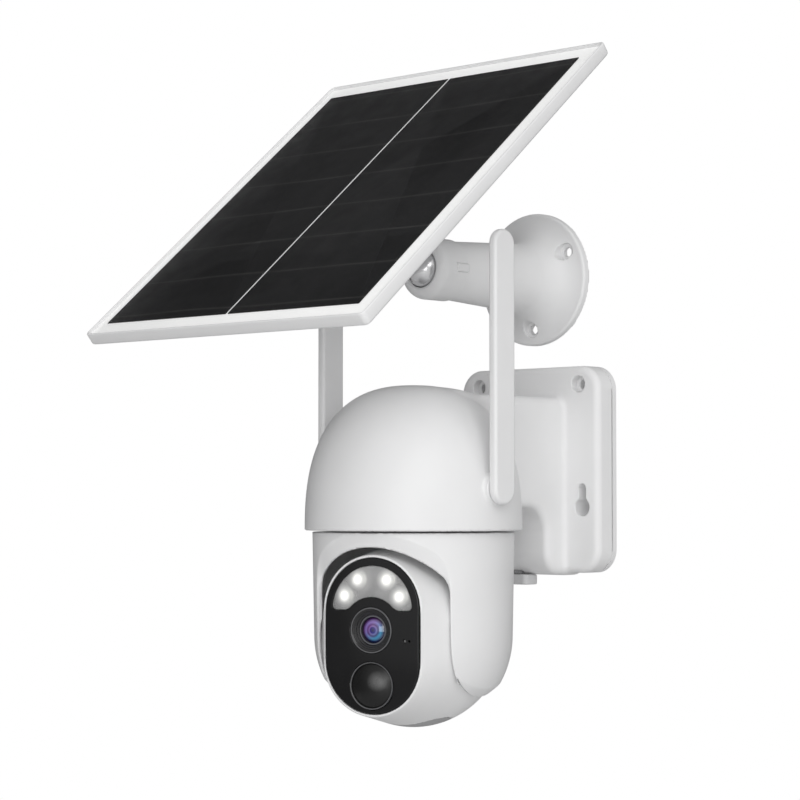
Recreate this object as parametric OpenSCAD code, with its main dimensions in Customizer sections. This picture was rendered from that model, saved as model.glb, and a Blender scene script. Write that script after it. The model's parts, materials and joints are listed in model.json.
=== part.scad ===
// Solar-powered pan-and-tilt security camera with two paddle antennas and a
// solar panel on its own wall bracket. The wall is the plane y = 0, the camera
// looks towards -Y and +Z is up. The origin is the centre of the wall box's back.

/* [Wall box] */
// Width of the wall box
box_w = 97; // [92:0.5:110]
// Height of the wall box
box_h = 110.8; // [105:0.2:125]
// Depth of the wall box, rear cover included
box_d = 16; // [15:0.5:22]
// Corner radius of the wall box
box_corner = 13; // [8:0.5:16]
// Width of the raised battery block and of the neck
block_w = 51; // [49:0.5:58]
// Height of the block's top edge above the origin
block_top = 38.5; // [36:0.5:40]
// Depth of the block's lower edge below the origin
block_bottom = 56.5; // [55:0.5:60]
// How far the block stands out from the wall
block_d = 30; // [29:0.5:34]
// Wall thickness of the housing
shell = 2.5; // [2:0.1:3]

/* [Dome and neck] */
// Distance from the wall to the pan axis
dome_reach = 108; // [104:1:125]
// Height of the dome's rim from the origin
rim_z = -32; // [-36:0.5:-30]
// Radius of the dome at its rim
dome_r = 56; // [55:0.5:62]
// Height of the dome above its rim
dome_h = 74.6; // [72:0.2:80]
// Squareness of the dome's side profile
dome_power = 2.5; // [2:0.1:3]
// Height of the neck's underside above the rim
neck_lift = 11.7; // [10:0.1:14]

/* [Antennas] */
// Distance from the pan axis plane to each antenna's middle
antenna_x = 60; // [60:0.5:66]
// Height of the antenna pivots above the rim
antenna_lift = 21; // [18:0.5:24]
// Length from the pivot to the antenna's tip
antenna_len = 130; // [100:1:131]
// Width of an antenna
antenna_w = 15.5; // [14:0.5:17]
// Thickness of an antenna
antenna_t = 5; // [4.6:0.2:5.4]

/* [Pan body] */
// Outer radius of the pan body
yoke_r = 52; // [51.6:0.2:53]
// Wall thickness of the pan body
yoke_wall = 3.3; // [3:0.1:3.4]
// Depth of the tilt axis below the rim
tilt_drop = 53.5; // [53:0.5:56]
// Half the width of the front opening
opening_half = 36; // [33:0.5:37]
// Length of the two arms below the rim
arm_drop = 84; // [80:0.5:86]
// Angle that the head faces at rest, to the right of straight out
pan_rest = 17; // [-45:1:45]

/* [Head] */
// Radius of the ball-shaped head
head_r = 47.2; // [46:0.2:47.4]
// Width of the black face plate
plate_w = 51.8; // [50:0.2:53]
// Height of the black face plate
plate_h = 77.4; // [76:0.2:78]
// Height of the face plate's centre above the tilt axis
plate_lift = 1.6; // [1.2:0.1:3]
// Distance from the tilt axis to the rim around the face plate
face_d = 47.4; // [47:0.2:48]
// Height of the camera lens above the tilt axis
lens_lift = 4.5; // [4:0.1:5.5]
// Radius of the ring around the camera lens
lens_ring_r = 11.4; // [10.5:0.1:12]
// Radius of the motion sensor's domed lens
pir_r = 11.8; // [11:0.1:12]
// Depth of the motion sensor below the tilt axis
pir_drop = 22.9; // [22.5:0.1:24]

/* [Panel bracket] */
// Sideways place of the bracket on the wall
mount_x = -6; // [-10:0.5:10]
// Height of the bracket above the origin
mount_z = 105; // [104:0.5:118]
// Radius of the bracket's wall flange
flange_r = 36.5; // [36:0.5:42]
// Thickness of the flange at its rim
flange_t = 4.5; // [4:0.1:6]
// Distance from the wall to the ball's centre
ball_y = 92; // [90:0.5:110]
// Radius of the ball
ball_r = 10.5; // [10:0.1:10.8]

/* [Solar panel] */
// Width of the panel
panel_w = 195; // [180:0.5:210]
// Length of the panel along its slope
panel_l = 233; // [220:1:240]
// Thickness of the panel
panel_t = 7; // [7:0.5:10]
// Slope of the panel from level
panel_tilt = 40; // [36:1:50]
// Distance from the ball's centre to the panel's front
stud_reach = 65.5; // [65:0.5:75]
// How far the panel's middle lies below the stud along the slope
panel_offset = 20.5; // [15:0.5:22]
// How far the panel's middle lies to the left of the stud
panel_side = 2.5; // [0:0.5:6]
// White border beside the cells
border_side = 9; // [8:0.5:14]
// White border at the ends of the cells
border_end = 11; // [8:0.5:14]
// How far the cells sit to the left of the panel's middle
cell_shift = 2; // [0:0.5:4]

/* [Hidden] */
$fn = 64;

// Clearances
seam = 0.1;      // between two still parts
play = 0.3;      // between two parts that move past each other
running = 0.05;  // radial, between a shaft and its bore
cut = 1;         // how far a cutter runs past a face

// Wall box
cover_t = 3;
screw_hole_r = 2.6;
screw_seat_r = 4.4;
screw_seat_d = 5;
screw_x = 35;
screw_z = 45.6;
keyhole_x = 37.5;
keyhole_z = -20.3;
keyhole_r = 4.8;
keyslot_r = 2.5;
keyslot_up = 10;
gasket_w = 1.6;
gasket_t = 1.2;
gasket_in = 5;
cover_screws = [[-30, -42], [30, -42], [-16, 45], [16, 45]];
cover_screw_r = 1.3;
cover_head_r = 2.8;
column_r = 3.4;

// Battery block
block_corner = 6;
cell_r = 9.2;
cell_len = 65;
cell_x = 9.6;
cell_y = 17.6;
cell_bottom = -44.5;
holder_t = 1.2;
socket_w = 9;
socket_t = 3.2;
socket_len = 7.3;
socket_x = -2;
socket_y = 23;
tab_w = 22;
tab_y = 11;
tab_h = 5.4;
speaker_x = -28.5;
speaker_y = 8.8;

// Dome, pan drive
base_lift = 3;
base_t = 2.5;
spindle_r = 12;
spindle_bore = 8;
spindle_top = 10.8;
gear_module = 1;
pan_teeth = 60;
tilt_teeth = 40;
pinion_teeth = 12;
gear_t = 4;
gear_lift = base_lift + base_t + 0.5;
backlash = 0.2;
drive_motor_r = 9.5;
drive_motor_len = 14;
drive_shaft_r = 1.5;
boss_r = 7.8;
pin_r = 2.5;

// Head, in a frame at the tilt axis with -Y through the face
face_z = plate_lift + plate_h / 2 - plate_w / 2;
bezel = 1.5;
split_y = 8;
head_wall = 3;
axle_r = 4;
axle_in = 24;
axle_out = 50.4;
tilt_gear_x = 24;
arm_relief_x = opening_half + 1.5;  // room inside both arms for the sides of the face
arm_relief_r = 34;
board_y = 36.4;
board_t = 1.6;
plate_back = 44.9;
plate_bulge = 1.9;
plate_ball = 330;
window_r = 22;
window_inner = 16.4;
led_ring_r = 16.3;
led_angles = [21.6, 60.4, 119.6, 158.4];
led_r = 2.4;
guide_at = [18.4, -0.4];
mic_at = [20.9, -0.4];
lid_w = 44;
lid_l = 22;

// Bracket
arm_root_r = 18.5;
arm_tip_r = 15.4;
arm_root_y = 22.5;
nose_y = ball_y - 16;
nose_r = 13.4;
nose_end = ball_y - 2;
seat_bore = 11.8;
flange_hole_r = 2.6;
flange_seat_r = 4.6;
flange_circle = 27.5;
collar_r = 16.4;
collar_front = ball_y + 4.3;
neck_r = 3;
stud_lean = 90 - panel_tilt + 5.5;  // widest angle between the stud and the collar's axis

// Panel, in a frame at the ball with +Z along the stud
front_z = stud_reach;
back_z = front_z - panel_t;
lip = 1.3;
laminate_t = 3;
frame_floor = 2;
sheet_t = 1.3;
cell_t = 0.4;
glass_t = 1.1;
cell_gap = 1.3;
jbox_w = 74;
jbox_l = 60;
jbox_t = 15;
gland_x = 18;
gland_r = 4.4;
gland_len = 7;
gland_relief = 0.6;
gland_catch = 0.5;
cable_r = 2.6;
boss_flange_r = 22;
boss_flange_t = 3;
boss_core_r = 13;
boss_h = 9;
stud_r = 3;
insert_r = 5;

// ---------- shared shapes ----------

// Rounded rectangle made of true arcs, centred
module rounded(w, h, r) {
  square([w - 2 * r, h], center = true);
  square([w, h - 2 * r], center = true);
  for (x = [-1, 1], y = [-1, 1])
    translate([x * (w / 2 - r), y * (h / 2 - r)]) circle(r);
}

// Upright oval with half-round ends, centred
module oval(w, h) {
  square([w, h - w], center = true);
  for (y = [-1, 1]) translate([0, y * (h - w) / 2]) circle(w / 2);
}

// Stands a flat outline up in the XZ plane and extrudes it from y = -from to y = -to
module wall_plate(from, to) {
  translate([0, -from, 0]) rotate([90, 0, 0]) linear_extrude(to - from) children();
}

// A ball with its poles along Y, clear of the cuts made in it
module ball(r) {
  rotate([90, 0, 0]) rotate(40) sphere(r, $fn = 96);
}

// A cylinder along X, from x0 to x1
module bar_x(x0, x1, r) {
  translate([x0, 0, 0]) rotate([0, 90, 0]) cylinder(h = x1 - x0, r = r);
}

// A cylinder pointing away from the wall, from y = -from to y = -to
module bar_y(from, to, r) {
  translate([0, -from, 0]) rotate([90, 0, 0]) cylinder(h = to - from, r = r);
}

// Spur gear outline whose teeth leave backlash on both flanks
module gear_shape(teeth) {
  pitch = gear_module * teeth / 2;
  step = 360 / teeth;
  half = (gear_module * PI / 4 - backlash) / pitch * 180 / PI;
  polygon([for (i = [0:teeth - 1], p = [[-1.35, -1.15], [-0.62, 0.9], [0.62, 0.9], [1.35, -1.15]])
    (pitch + p[1] * gear_module)
      * [cos(i * step + p[0] * half), sin(i * step + p[0] * half)]]);
}

module at_dome() { translate([0, -dome_reach, rim_z]) children(); }
module at_pan() { at_dome() rotate([0, 0, pan_rest]) children(); }
module at_head() { at_pan() translate([0, 0, -tilt_drop]) children(); }
module at_bracket() { translate([mount_x, 0, mount_z]) children(); }
module at_stud() {
  at_bracket() translate([0, -ball_y, 0]) rotate([panel_tilt, 0, 0]) children();
}
module at_antenna(side) {
  at_dome() translate([0, 0, antenna_lift]) mirror([side < 0 ? 1 : 0, 0, 0]) children();
}

// ---------- wall unit ----------

module box_outline(inset) {
  rounded(box_w - 2 * inset, box_h - 2 * inset, box_corner - inset);
}

module block_outline(inset) {
  translate([0, (block_top - block_bottom) / 2])
    rounded(block_w - 2 * inset, block_top + block_bottom - 2 * inset, block_corner - inset);
}

module neck_outline(inset) {
  low = rim_z + neck_lift;
  translate([0, (block_top + low) / 2])
    rounded(block_w - 2 * inset, block_top - low - 2 * inset, block_corner - inset);
}

module dome_solid(inset) {
  r = dome_r - inset;
  h = dome_h - inset;
  steps = 18;
  rotate_extrude() polygon(concat([[0, 0]], [for (i = [0:steps])
    let (a = 90 * i / steps)
    [r * pow(cos(a), 2 / dome_power), h * pow(sin(a), 2 / dome_power)]]));
}

module keyhole(grow) {
  translate([0, keyhole_z]) circle(keyhole_r + grow);
  translate([-keyslot_r - grow, keyhole_z])
    square([2 * (keyslot_r + grow), keyslot_up]);
  translate([0, keyhole_z + keyslot_up]) circle(keyslot_r + grow);
}

module screw_spots() {
  for (x = [-1, 1]) translate([x * screw_x, 0, screw_z]) children();
}

module cover_screw_spots() {
  for (p = cover_screws) translate([p[0], 0, p[1]]) children();
}

module rear_cover() color("gainsboro") difference() {
  wall_plate(0, cover_t) box_outline(0);
  screw_spots() bar_y(-cut, cover_t + cut, screw_hole_r);
  for (x = [-1, 1]) translate([x * keyhole_x, 0, 0])
    wall_plate(-cut, cover_t + cut) keyhole(0);
  cover_screw_spots() {
    bar_y(-cut, cover_t + cut, cover_screw_r + play);
    bar_y(-cut, 1.6, cover_head_r + play);
  }
  wall_plate(cover_t - gasket_t, cover_t + cut) gasket_ring(seam);
}

module gasket_ring(grow) {
  difference() {
    box_outline(gasket_in - grow);
    box_outline(gasket_in + gasket_w + grow);
  }
}

module housing_gasket() color("dimgray")
  wall_plate(cover_t - gasket_t + seam, cover_t + seam / 2) gasket_ring(0);

module housing_screws() color("silver") cover_screw_spots() difference() {
  union() {
    bar_y(0.1, 1.5, cover_head_r);
    bar_y(1.4, 11, cover_screw_r);
  }
  bar_y(-cut, 0.9, 1);
}

// Bracket-shaped web that rounds the neck's underside into the block
module neck_gusset() {
  r = 14;
  low = rim_z + neck_lift;
  translate([-block_w / 2 + 6, 0, 0]) rotate([90, 0, 90])
    linear_extrude(block_w - 12) polygon(concat(
      [[-block_d + 3, low + 3], [-block_d + 3, low - r]],
      [for (a = [0:10:90]) [-block_d - r * (1 - cos(a)), low - r * (1 - sin(a))]],
      [[-block_d - r, low + 3]]));
}

module housing() color("whitesmoke") difference() {
  union() {
    difference() {
      union() {
        wall_plate(cover_t + seam, box_d) box_outline(0);
        wall_plate(box_d - cut, block_d) block_outline(0);
        wall_plate(block_d - cut, dome_reach - 20) neck_outline(0);
        neck_gusset();
        at_dome() dome_solid(0);
        for (s = [-1, 1]) at_antenna(s)
          bar_x(dome_r - 8, antenna_x - antenna_t / 2 - play, boss_r);
      }
      wall_plate(cover_t, box_d - shell) box_outline(shell);
      wall_plate(cover_t, block_d - shell) block_outline(shell);
      wall_plate(block_d - shell - cut, dome_reach - 10) neck_outline(shell);
      at_dome() translate([0, 0, -0.01]) dome_solid(shell);
    }
    for (s = [-1, 1]) at_antenna(s) bar_x(dome_r - 8, dome_r - 1, boss_r - 2);
    screw_spots() bar_y(cover_t + seam, box_d - cut, screw_seat_r + 1.6);
    cover_screw_spots() bar_y(cover_t + seam, box_d - cut, column_r);
    for (x = [-1, 1]) translate([x * keyhole_x, 0, 0])
      wall_plate(cover_t + seam, box_d - cut) keyhole(1.6);
  }
  screw_spots() {
    bar_y(0, box_d + cut, screw_hole_r);
    bar_y(box_d - screw_seat_d, box_d + cut, screw_seat_r);
  }
  for (x = [-1, 1]) translate([x * keyhole_x, 0, 0])
    wall_plate(0, box_d + cut) keyhole(0);
  cover_screw_spots() bar_y(cover_t, 11.2, cover_screw_r + running);
  for (s = [-1, 1]) at_antenna(s) bar_x(dome_r - 5.5, antenna_x, pin_r);
  translate([socket_x, -socket_y, -block_bottom])
    cube([socket_w + 2 * seam, socket_t + 2 * seam, 4 * shell], center = true);
  for (i = [-2:2]) translate([speaker_x + 3 * i, -speaker_y, -box_h / 2 - cut])
    cylinder(h = 2 * shell, r = 0.8);
}

module main_board() color("seagreen") {
  translate([-20, -4.9, -50]) cube([40, 1.4, 90]);
  translate([-8, -7.4, 24]) cube([16, 2.5 + seam, 13]);
  translate([-18, -6.9, 24]) cube([7, 2 + seam, 7]);
  translate([11, -6.5, 25]) cube([6, 1.6 + seam, 10]);
}

module battery(side) {
  translate([side * cell_x, -cell_y, cell_bottom]) {
    cylinder(h = cell_len - 1.5, r = cell_r);
    cylinder(h = cell_len, r = 3);
  }
}
module battery_left() color("royalblue") battery(-1);
module battery_right() color("royalblue") battery(1);

module battery_holder() color("black") {
  w = 2 * (cell_x + cell_r);
  y0 = cell_y - cell_r - seam;
  for (z = [cell_bottom - holder_t - seam, cell_bottom + cell_len + seam])
    translate([-w / 2, -y0 - 12, z]) cube([w, 12 + holder_t, holder_t]);
  translate([-w / 2, -y0, cell_bottom - holder_t - seam])
    cube([w, holder_t, cell_len + 2 * holder_t + 2 * seam]);
}

module charge_socket() color("silver")
  translate([socket_x, -socket_y, -block_bottom + socket_len / 2 + 0.3]) difference() {
    cube([socket_w, socket_t, socket_len], center = true);
    translate([0, 0, -1]) cube([socket_w - 0.8, socket_t - 0.8, socket_len], center = true);
  }

module port_cover() color("lightgray") translate([socket_x, -socket_y, -block_bottom]) {
  translate([0, 0, -tab_h - seam]) linear_extrude(tab_h) rounded(tab_w, tab_y, 2.5);
  translate([0, 0, -seam - 0.5]) linear_extrude(4.6)
    rounded(socket_w - 0.8 - 2 * play, socket_t - 0.8 - 2 * play, 0.7);
}

module speaker() color("dimgray")
  translate([speaker_x, -speaker_y, -box_h / 2 + shell + seam + 2.5]) {
    cube([14, 8.6, 5], center = true);
    translate([0, 0, 2.4]) cylinder(h = 1.6, r = 3.4);
  }

// ---------- pan drive ----------

module dome_base() color("gainsboro") at_dome() difference() {
  union() {
    translate([0, 0, base_lift]) cylinder(h = base_t, r = dome_r - shell - 0.4);
    for (x = [-1, 1])
      translate([x * 12.6, -pan_centres(), base_lift]) cylinder(h = 8.9, r = 2.3);
  }
  cylinder(h = 20, r = spindle_r + running);
}

function pan_centres() = gear_module * (pan_teeth + pinion_teeth) / 2;
function tilt_centres() = gear_module * (tilt_teeth + pinion_teeth) / 2;

// Small geared motor standing along Z, its flange at z = 0 and its ears along X
module drive_motor(ears) difference() {
  union() {
    cylinder(h = drive_motor_len, r = drive_motor_r);
    translate([0, 0, 0.5]) cube([2 * ears, 6, 1], center = true);
  }
  translate([0, 0, -cut]) cylinder(h = 8, r = drive_shaft_r + running);
}

// Pinion on its motor shaft, gear face at z = 0
module drive_pinion(turn) {
  rotate([0, 0, turn]) linear_extrude(gear_t) gear_shape(pinion_teeth);
  translate([0, 0, gear_t - 0.5]) cylinder(h = 6.6, r = drive_shaft_r);
}

module pan_motor() color("silver") at_dome()
  translate([0, -pan_centres(), base_lift + 9]) drive_motor(15);

module pan_gear() color("white") at_pan() translate([0, 0, gear_lift])
  linear_extrude(gear_t) difference() {
    gear_shape(pan_teeth);
    circle(spindle_r);
  }

// Turns the pinion so that one of its gaps faces a tooth of the pan gear
module pan_pinion() color("gold") at_dome() translate([0, -pan_centres(), gear_lift])
  drive_pinion(90 + 180 / pinion_teeth - (pan_rest + 90) * pan_teeth / pinion_teeth);

module yoke() color("whitesmoke") at_pan() difference() {
  union() {
    difference() {
      union() {
        translate([0, 0, -tilt_drop]) cylinder(h = tilt_drop - 0.8, r = yoke_r);
        translate([0, 0, -tilt_drop]) sphere(yoke_r);
      }
      translate([0, 0, -tilt_drop]) {
        cylinder(h = tilt_drop - 3.8, r = yoke_r - yoke_wall);
        sphere(yoke_r - yoke_wall);
      }
    }
    translate([0, 0, -3]) cylinder(h = spindle_top + 3, r = spindle_r - running / 2);
  }
  translate([0, 0, -20]) cylinder(h = 60, r = spindle_bore);
  yoke_front_cut();
  yoke_lower_cut();
  translate([0, 0, -tilt_drop]) {
    bar_x(-axle_out - seam, axle_out + seam, axle_r);
    bar_x(-arm_relief_x, arm_relief_x, arm_relief_r);
  }
}

// Arched opening in front of the head
module yoke_front_cut() {
  translate([0, 0, -tilt_drop]) wall_plate(4, yoke_r + cut) intersection() {
    circle(45.5);
    square([2 * opening_half, 100], center = true);
  }
  translate([0, 0, -tilt_drop]) wall_plate(4, yoke_r + cut)
    translate([-opening_half, -60]) square([2 * opening_half, 60 - 3.5]);
}

// Rounds the ends of both arms and opens the pan body below the head
module yoke_lower_cut() {
  top = tilt_drop + 3.5;
  a = opening_half + 1;
  b = arm_drop - top;
  translate([0, 0, -top]) rotate([90, 0, 90]) linear_extrude(150, center = true)
    polygon(concat([for (i = [0:12]) let (t = 180 + 180 * i / 12) [a * cos(t), b * sin(t)]],
      [[80, 0], [80, -70], [-80, -70], [-80, 0]]));
  translate([0, 0, -top]) wall_plate(-yoke_r - cut, 0)
    translate([-opening_half, -60]) square([2 * opening_half, 60]);
}

module tilt_axle(x0, x1) difference() {
  bar_x(x0, x1, axle_r - running / 2);
  bar_x(x0 - cut, x0 + 4, 1.4);
}
module tilt_axle_left() color("silver") at_head() mirror([1, 0, 0])
  tilt_axle(37, axle_out);
module tilt_axle_right() color("silver") at_head() tilt_axle(axle_in - 1, axle_out);

module tilt_gear() color("white") at_head() translate([tilt_gear_x, 0, 0])
  rotate([0, 90, 0]) linear_extrude(gear_t) difference() {
    gear_shape(tilt_teeth);
    circle(axle_r);
  }

// ---------- head ----------

module face_outline(grow) {
  translate([0, plate_lift]) oval(plate_w + 2 * grow, plate_h + 2 * grow);
}

module head_front() color("whitesmoke") at_head() difference() {
  hull() {
    sphere(head_r, $fn = 32);
    wall_plate(face_d - 1, face_d) face_outline(bezel, $fn = 32);
  }
  translate([0, split_y + 50, 0]) cube([120, 100, 120], center = true);
  ball(head_r - head_wall);
  wall_plate(20, plate_back) face_outline(-2.2);
  wall_plate(plate_back - seam, face_d + cut) face_outline(seam + 0.1);
  bar_x(-60, 60, axle_r + running);
  lid_recess();
  head_screw_spots() bar_y(-split_y - 1, 4, 1.3 + running);
}

module head_back() color("whitesmoke") at_head() difference() {
  intersection() {
    difference() {
      ball(head_r);
      difference() {
        ball(head_r - head_wall);
        translate([16, 39.5, 0]) cube([10, 8, 8], center = true);
        head_screw_spots() bar_y(-50, -split_y, 3.2);
      }
    }
    translate([0, split_y + seam + 50, 0]) cube([120, 100, 120], center = true);
  }
  head_screw_spots() {
    bar_y(-50, -split_y + cut, 1.3 + play);
    bar_y(-60, -28, 2.8 + play);
  }
}

module head_screw_spots() {
  for (z = [-1, 1]) translate([0, 0, z * 31]) children();
}

module head_screws() color("silver") at_head() head_screw_spots() difference() {
  union() {
    bar_y(-29.8, -28.1, 2.8);
    bar_y(-28.6, 3, 1.3);
  }
  bar_y(-31, -29, 1);
}

// Recess and openings under the card cover
module lid_recess() {
  difference() {
    lid_prism(seam + 0.2);
    ball(head_r - 1.5);
  }
  translate([-9, 0, -44]) cube([12.4, 2, 16], center = true);
  translate([9, 0, -60]) cylinder(h = 30, r = 1.8 + play);
}

module lid_prism(grow) {
  translate([0, -4, -60]) linear_extrude(30) rotate(90) oval(lid_l + 2 * grow, lid_w + 2 * grow);
}

module card_cover() color("lightgray") at_head() intersection() {
  lid_prism(0);
  difference() {
    ball(head_r);
    ball(head_r - 1.4);
    translate([0, 0, 50]) cube(100, center = true);
  }
}

module card_socket() color("silver") at_head() translate([-9, 0, -33]) difference() {
  cube([14, 2.2, 15], center = true);
  translate([0, 0, -1]) cube([11.4, 1.2, 15], center = true);
}

module reset_button() color("dimgray") at_head() translate([9, 0, -44]) {
  cylinder(h = 4.6, r = 1.8);
  translate([0, 0, 4.4]) cylinder(h = 1, r = 2.6);
}

// The plate's slightly domed front, cut from the inside of a very large ball
module domed(from) intersection() {
  wall_plate(from, face_d + 5) children();
  translate([0, plate_ball - face_d - plate_bulge, plate_lift])
    sphere(plate_ball, $fn = 400);
}

module window_shape(grow) difference() {
  intersection() {
    translate([0, face_z]) circle(window_r + grow);
    translate([-40, face_z - grow]) square([80, 40]);
  }
  translate([0, lens_lift]) circle(window_inner - grow);
}

module face_plate() color([0.02, 0.02, 0.02]) at_head() difference() {
  domed(plate_back) face_outline(0);
  wall_plate(40, 60) window_shape(seam);
  translate([0, 0, lens_lift]) bar_y(40, 60, lens_ring_r + seam);
  translate([0, 0, -pir_drop]) bar_y(40, 60, pir_r + seam);
  translate([guide_at[0], 0, guide_at[1]]) bar_y(40, 60, 0.8);
  translate([mic_at[0], 0, mic_at[1]]) bar_y(40, 60, 0.5);
}

module led_window() color([0.9, 0.92, 0.95, 0.4]) at_head()
  wall_plate(46.4, face_d - 0.1) window_shape(0);

function led_at(a) = [led_ring_r * cos(a), face_z + 1 + led_ring_r * sin(a)];

module led_reflector() color("silver") at_head() difference() {
  wall_plate(42, 46.2) window_shape(-0.2);
  for (a = led_angles) translate([led_at(a)[0], 0, led_at(a)[1]])
    rotate([90, 0, 0]) translate([0, 0, 41.9]) cylinder(h = 4.4, r1 = led_r + play, r2 = 3.8);
}

module leds() color([1, 0.98, 0.85]) at_head() for (a = led_angles)
  translate([led_at(a)[0], 0, led_at(a)[1]]) {
    bar_y(board_y + board_t + seam, 42.4, led_r);
    translate([0, -42.4, 0]) sphere(led_r - 0.1);
  }

module head_board() color("darkgreen") at_head() difference() {
  wall_plate(board_y, board_y + board_t) face_outline(-5.5);
  translate([0, 0, lens_lift]) bar_y(30, 50, 8.4);
}

module lens_ring() color([0.03, 0.03, 0.03]) at_head() translate([0, 0, lens_lift])
  rotate([90, 0, 0]) difference() {
    translate([0, 0, plate_back - 0.5]) cylinder(h = face_d + 1.6 - plate_back + 0.5, r = lens_ring_r);
    translate([0, 0, 40]) cylinder(h = 12, r = 7.5);
    translate([0, 0, face_d - 0.6]) cylinder(h = 3, r1 = 7.5, r2 = 10.8);
  }

module lens_barrel() color([0.05, 0.05, 0.05]) at_head() translate([0, 0, lens_lift])
  difference() {
    bar_y(20, face_d - 0.6, 7.4);
    bar_y(19, face_d - 3, 5);
    bar_y(face_d - 3.4, 50, 6.6);
  }

module lens_glass() color([0.3, 0.2, 0.6]) at_head() translate([0, 0, lens_lift])
  intersection() {
    bar_y(face_d - 3.3, face_d, 6.5);
    translate([0, -face_d + 12.4, 0]) sphere(12, $fn = 160);
  }

module sensor_board() color("seagreen") at_head() translate([0, 0, lens_lift]) {
  translate([-13, -19.9, -13]) cube([26, 1.4, 26]);
  translate([-3.4, -21, -3.4]) cube([6.8, 1.2, 6.8]);
}

module pir_lens() color([0.01, 0.01, 0.01]) at_head() translate([0, 0, -pir_drop]) {
  difference() {
    union() {
      bar_y(plate_back, face_d, pir_r);
      intersection() {
        bar_y(face_d - 0.5, face_d + 5, pir_r);
        translate([0, -face_d + 15.8, 0]) sphere(19.6, $fn = 160);
      }
    }
    bar_y(40, face_d - 0.4, pir_r - 1.4);
    intersection() {
      bar_y(40, face_d + 5, pir_r - 1.4);
      translate([0, -face_d + 15.8, 0]) sphere(18.4, $fn = 160);
    }
  }
}

module pir_sensor() color("silver") at_head() translate([0, 0, -pir_drop]) {
  bar_y(board_y + board_t + seam, 42.5, 4.1);
  bar_y(board_y + board_t + seam, 39, 4.7);
}

module light_guide() color([0.85, 0.9, 0.95, 0.6]) at_head()
  translate([guide_at[0], 0, guide_at[1]]) bar_y(board_y + board_t + seam, face_d + 0.5, 0.7);

module microphone() color("gold") at_head()
  translate([mic_at[0] + 0.7, 0, mic_at[1] - 1.6]) bar_y(board_y + board_t + seam, 40.4, 1.5);

module tilt_motor() color("silver") at_head()
  translate([tilt_gear_x - 4.6, tilt_centres(), 0]) rotate([0, -90, 0]) drive_motor(6);

module tilt_pinion() color("gold") at_head()
  translate([tilt_gear_x + gear_t, tilt_centres(), 0]) rotate([0, -90, 0])
    drive_pinion(90 + 180 / pinion_teeth);

// ---------- antennas ----------

module antenna_bar(w, t, low, high) {
  rotate([90, 0, 90]) translate([0, 0, antenna_x - t / 2]) linear_extrude(t)
    translate([0, (high - low) / 2]) oval(w, high + low);
}

module antenna() difference() {
  antenna_bar(antenna_w, antenna_t, antenna_w / 2, antenna_len);
  bar_x(antenna_x - antenna_t, antenna_x + 0.8, pin_r + running);
  translate([antenna_x, 0, 0]) cylinder(h = antenna_len - 10, r = 1);
}
module antenna_left() color("whitesmoke") at_antenna(-1) antenna();
module antenna_right() color("whitesmoke") at_antenna(1) antenna();

module antenna_element() translate([antenna_x, 0, 8])
  cylinder(h = antenna_len - 20, r = 0.8);
module antenna_element_left() color("goldenrod") at_antenna(-1) antenna_element();
module antenna_element_right() color("goldenrod") at_antenna(1) antenna_element();

module antenna_pin() bar_x(dome_r - 5.4, antenna_x + 0.7, pin_r - 0.01);
module antenna_pin_left() color("silver") at_antenna(-1) antenna_pin();
module antenna_pin_right() color("silver") at_antenna(1) antenna_pin();

// ---------- panel bracket ----------

module bracket() color("whitesmoke") at_bracket() rotate([90, 0, 0]) difference() {
  rotate_extrude() polygon(concat(
    [[0, 0], [flange_r, 0], [flange_r, flange_t]],
    [for (a = [0:10:90]) [arm_root_r + 16 * (1 - sin(a)),
      flange_t + (arm_root_y - flange_t) * (1 - cos(a))]],
    [[arm_tip_r, nose_y], [nose_r, nose_y], [nose_r, nose_end], [0, nose_end]]));
  translate([0, 0, ball_y - 12.5]) cylinder(h = 20, r = seat_bore);
  for (a = [30, 150, 270]) rotate([0, 0, a]) translate([flange_circle, 0, 0]) {
    translate([0, 0, -cut]) cylinder(h = 12, r = flange_hole_r);
    translate([0, 0, flange_t - 1.4]) cylinder(h = 12, r = flange_seat_r);
  }
}

module bracket_collar() color("whitesmoke") at_bracket() rotate([90, 0, 0]) difference() {
  union() {
    rotate_extrude() polygon(concat([[0, nose_y + play], [collar_r, nose_y + play]],
      [for (a = [0:15:90]) [collar_r - 5.6 * (1 - cos(a)), collar_front - 7 * (1 - sin(a))]],
      [[0, collar_front]]));
    translate([collar_r - 2, -2.2, nose_y + play]) cube([2.9, 4.4, 9]);
  }
  translate([0, 0, nose_y - cut]) cylinder(h = nose_end - nose_y + cut + play, r = nose_r + play);
  translate([0, 0, ball_y]) {
    sphere(ball_r + play);
    cylinder(h = 8, r1 = neck_r / cos(stud_lean), r2 = neck_r / cos(stud_lean) + 8 * tan(stud_lean));
  }
}

module ball_seat() color("dimgray") at_bracket() rotate([90, 0, 0]) difference() {
  translate([0, 0, ball_y - 12]) cylinder(h = 10, r = seat_bore - play);
  translate([0, 0, ball_y]) sphere(ball_r + play);
}

module ball_stud() color("silver") at_stud() {
  sphere(ball_r);
  cylinder(h = back_z - jbox_t - boss_h - 3, r = neck_r);
  translate([0, 0, back_z - jbox_t - boss_h - 3.4]) cylinder(h = 3, r = 8, $fn = 6);
  cylinder(h = back_z - jbox_t + 2, r = stud_r);
}

// ---------- solar panel ----------

module at_panel() { at_stud() translate([-panel_side, -panel_offset, 0]) children(); }

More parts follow.
